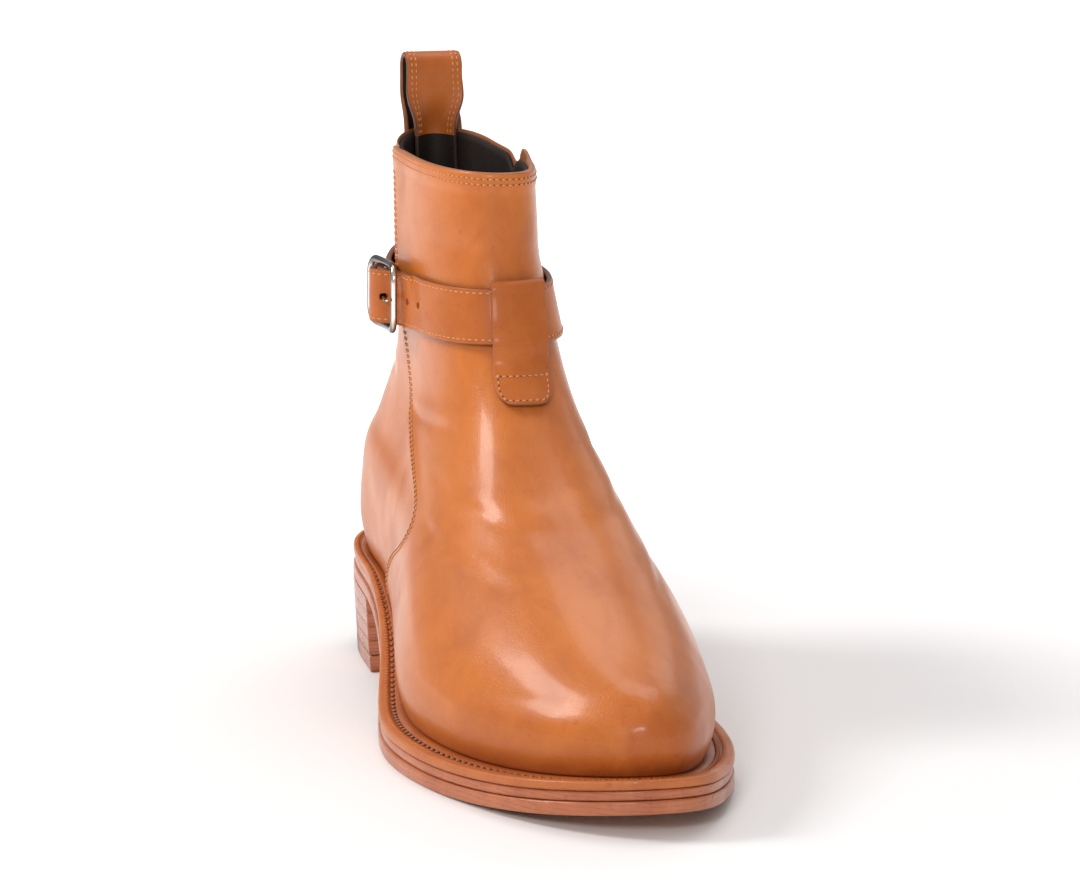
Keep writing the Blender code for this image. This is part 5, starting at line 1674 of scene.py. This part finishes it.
def build_stitches(strip, strap, tab):
    """Every sewn row of the upper, strap, keeper and back strip."""
    step = PANEL_STEP + 0.00008
    rows = [panel_row(side, inset, 0.035, 0.955, step) for side in (1, 0) for inset in PANEL_SEAMS]
    inside, outside = edge_angles(1.0)
    for rise in COLLAR_SEAMS:
        rows.append(collar_row(inside + 0.10, outside - 0.06, rise, step + 0.00026))
        rows.append(collar_row(outside + 0.06, inside + TURN - 0.12, rise, 0.00008))
    centre = strip[0]
    below, above = (share_at_height(centre, height) for height in (STRAP_LOW - 0.0065, STRAP_HIGH + 0.0065))
    sewn_end = (tucked_row(centre) - 1) / (len(centre) - 1)
    for share in STRIP_SEAMS:
        rows.append(strip_row(*strip, STRIP_THICKNESS, share, 0.01, below))
        rows.append(strip_row(*strip, STRIP_THICKNESS, share, above, sewn_end))
    for height in (*CROSS_SEAMS, *(COLLAR_BACK[2] + drop for drop in COLLAR_CROSS_SEAMS)):
        rows.append(strip_cross_row(*strip, STRIP_THICKNESS, share_at_height(centre, height)))
    sew("upper_stitches", rows, FINE_STITCH, FINE_THREAD)
    rows = [strip_row(*strap, STRAP_THICKNESS, share, 0.075, 0.965) for share in STRAP_SEAMS]
    sew("strap_stitches", rows, STRAP_STITCH, FINE_THREAD)
    cross = share_at_height(tab[0], TAB_BOTTOM + 0.0105)
    near, far = (strip_row(*tab, TAB_THICKNESS, share, 0.045, cross) for share in STRAP_SEAMS)
    bottom = strip_cross_row(*tab, TAB_THICKNESS, 0.042, 0.10)
    foot = [np.concatenate([near[i][::-1], bottom[i], far[i]]) for i in range(2)]
    rows = [strip_cross_row(*tab, TAB_THICKNESS, cross, 0.08), smooth_row(*foot)]
    sew("keeper_stitches", rows, FINE_STITCH, FINE_THREAD)


def welt_loop(share, height):
    """A closed row round the welt for stitches or wheel marks."""
    row = welt_row(share, height)
    upward = np.tile((0.0, 0.0, 1.0), (SOLE_STEPS + 1, 1))
    return smooth_row(np.concatenate([row, row[:1]]), upward, 1400)


def build_sole_details():
    """Welt stitches and wheel marks, channel stitches and the nails in the top piece."""
    sew("welt_stitches", [welt_loop(WELT_SEAM, -0.00055)], WELT_STITCH, WELT_THREAD)
    repeat_along("welt_wheel_marks", [welt_loop(WHEEL_LINE, 0.00002)], WHEEL_MARK, WELT)
    angle = np.linspace(CHANNEL_START, TURN - CHANNEL_START, 700)
    channel = outline(angle, edge_reach(angle, CHANNEL_INSET + CHANNEL_WIDTH / 2))
    path = raised(channel, bottom_height(channel[:, 0]) + CHANNEL_DEPTH * 0.75)
    downward = np.tile((0.0, 0.0, -1.0), (700, 1))
    sew("channel_stitches", [smooth_row(path, downward, 1200)], SOLE_STITCH, WELT_THREAD)
    rows = []
    for forward in (HEEL_LENGTH - NAIL_INSET, RUBBER_LENGTH + NAIL_INSET):
        for place in np.linspace(-NAIL_ROW, NAIL_ROW, NAILS):
            points = np.array([(forward, place - 0.00001, 0.00012), (forward, place + 0.00001, 0.00012)])
            rows.append((points, downward[:2]))
    size = 2 * NAIL_RADIUS
    repeat_along("top_piece_nails", rows, (1.0, size, size, 0.0003), BRASS_NAIL, "nail")


# Floor, light and camera

def build_floor():
    """Pale floor that glows more and more away from the boot, as painted light that washes its shadows out
    there.
    """
    material, tree, shader, place = start_material("glowing_pale_floor")
    tone = mix_colour(tree, noise(tree, place, 3.0, 2.0), (0.90, 0.885, 0.885, 1.0), (0.93, 0.92, 0.92, 1.0))
    tree.links.new(tone, shader.inputs["Base Color"])
    shader.inputs["Roughness"].default_value = 0.55
    reach = tree.nodes.new("ShaderNodeVectorMath")
    reach.operation = "DISTANCE"
    feed(tree, reach.inputs[0], place)
    feed(tree, reach.inputs[1], BOOT_MIDDLE)
    # Painted light: the floor's own glow, none near the boot and full further off
    glow = math_node(tree, "MULTIPLY", ramp(tree, reach.outputs["Value"], GLOW_FROM, GLOW_TO), FLOOR_GLOW)
    shader.inputs["Emission Color"].default_value = (1.0, 0.995, 0.995, 1.0)
    tree.links.new(glow, shader.inputs["Emission Strength"])
    mesh = bpy.data.meshes.new("floor")
    mesh.from_pydata([(-6, -6, 0), (6, -6, 0), (6, 6, 0), (-6, 6, 0)], [], [(0, 1, 2, 3)])
    mesh.materials.append(material)
    add_object("floor", mesh)


def build_lights():
    """Soft studio light: softboxes at the front left, left, right and above, in a broad pale surround."""
    for name, place, size, energy, colour in LIGHT_ROWS:
        light = bpy.data.lights.new(name, "AREA")
        light.shape = "RECTANGLE"
        light.size, light.size_y = size
        light.energy = energy
        light.color = colour
        lamp = add_object(name, light)
        lamp.location = place
        lamp.rotation_euler = (Vector(BOOT_MIDDLE) - Vector(place)).to_track_quat("-Z", "Y").to_euler()
    world = bpy.data.worlds.new("studio")
    world.use_nodes = True
    background = world.node_tree.nodes["Background"]
    background.inputs["Color"].default_value = (1.0, 0.995, 0.99, 1.0)
    background.inputs["Strength"].default_value = SURROUND
    bpy.context.scene.world = world


def build_camera():
    """Camera at the photograph's angle to the boot."""
    data = bpy.data.cameras.new("camera")
    data.lens = CAMERA_LENS
    data.sensor_width = 36.0
    data.sensor_fit = "HORIZONTAL"
    data.clip_start = 0.05
    camera = add_object("camera", data)
    turn = (Vector(CAMERA_AIM) - Vector(CAMERA_PLACE)).to_track_quat("-Z", "Y").to_matrix()
    turn = turn @ Matrix.Rotation(math.radians(CAMERA_ROLL), 3, "Z")
    camera.matrix_world = Matrix.Translation(CAMERA_PLACE) @ turn.to_4x4()
    bpy.context.scene.camera = camera


def build_boot():
    """Every piece of the dressed boot."""
    build_panel()
    build_quarters()
    build_lining()
    sewn = build_back_strip(), build_strap(), build_tab()
    build_buckle()
    build_outsole()
    build_midsole()
    build_welt()
    build_heel()
    build_stitches(*sewn)
    build_sole_details()
    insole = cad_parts["insole"]
    insole.data.materials.clear()
    insole.data.materials.append(INSOLE)


build_camera()
build_floor()
build_lights()
build_boot()
bpy.context.scene.view_settings.view_transform = "Standard"
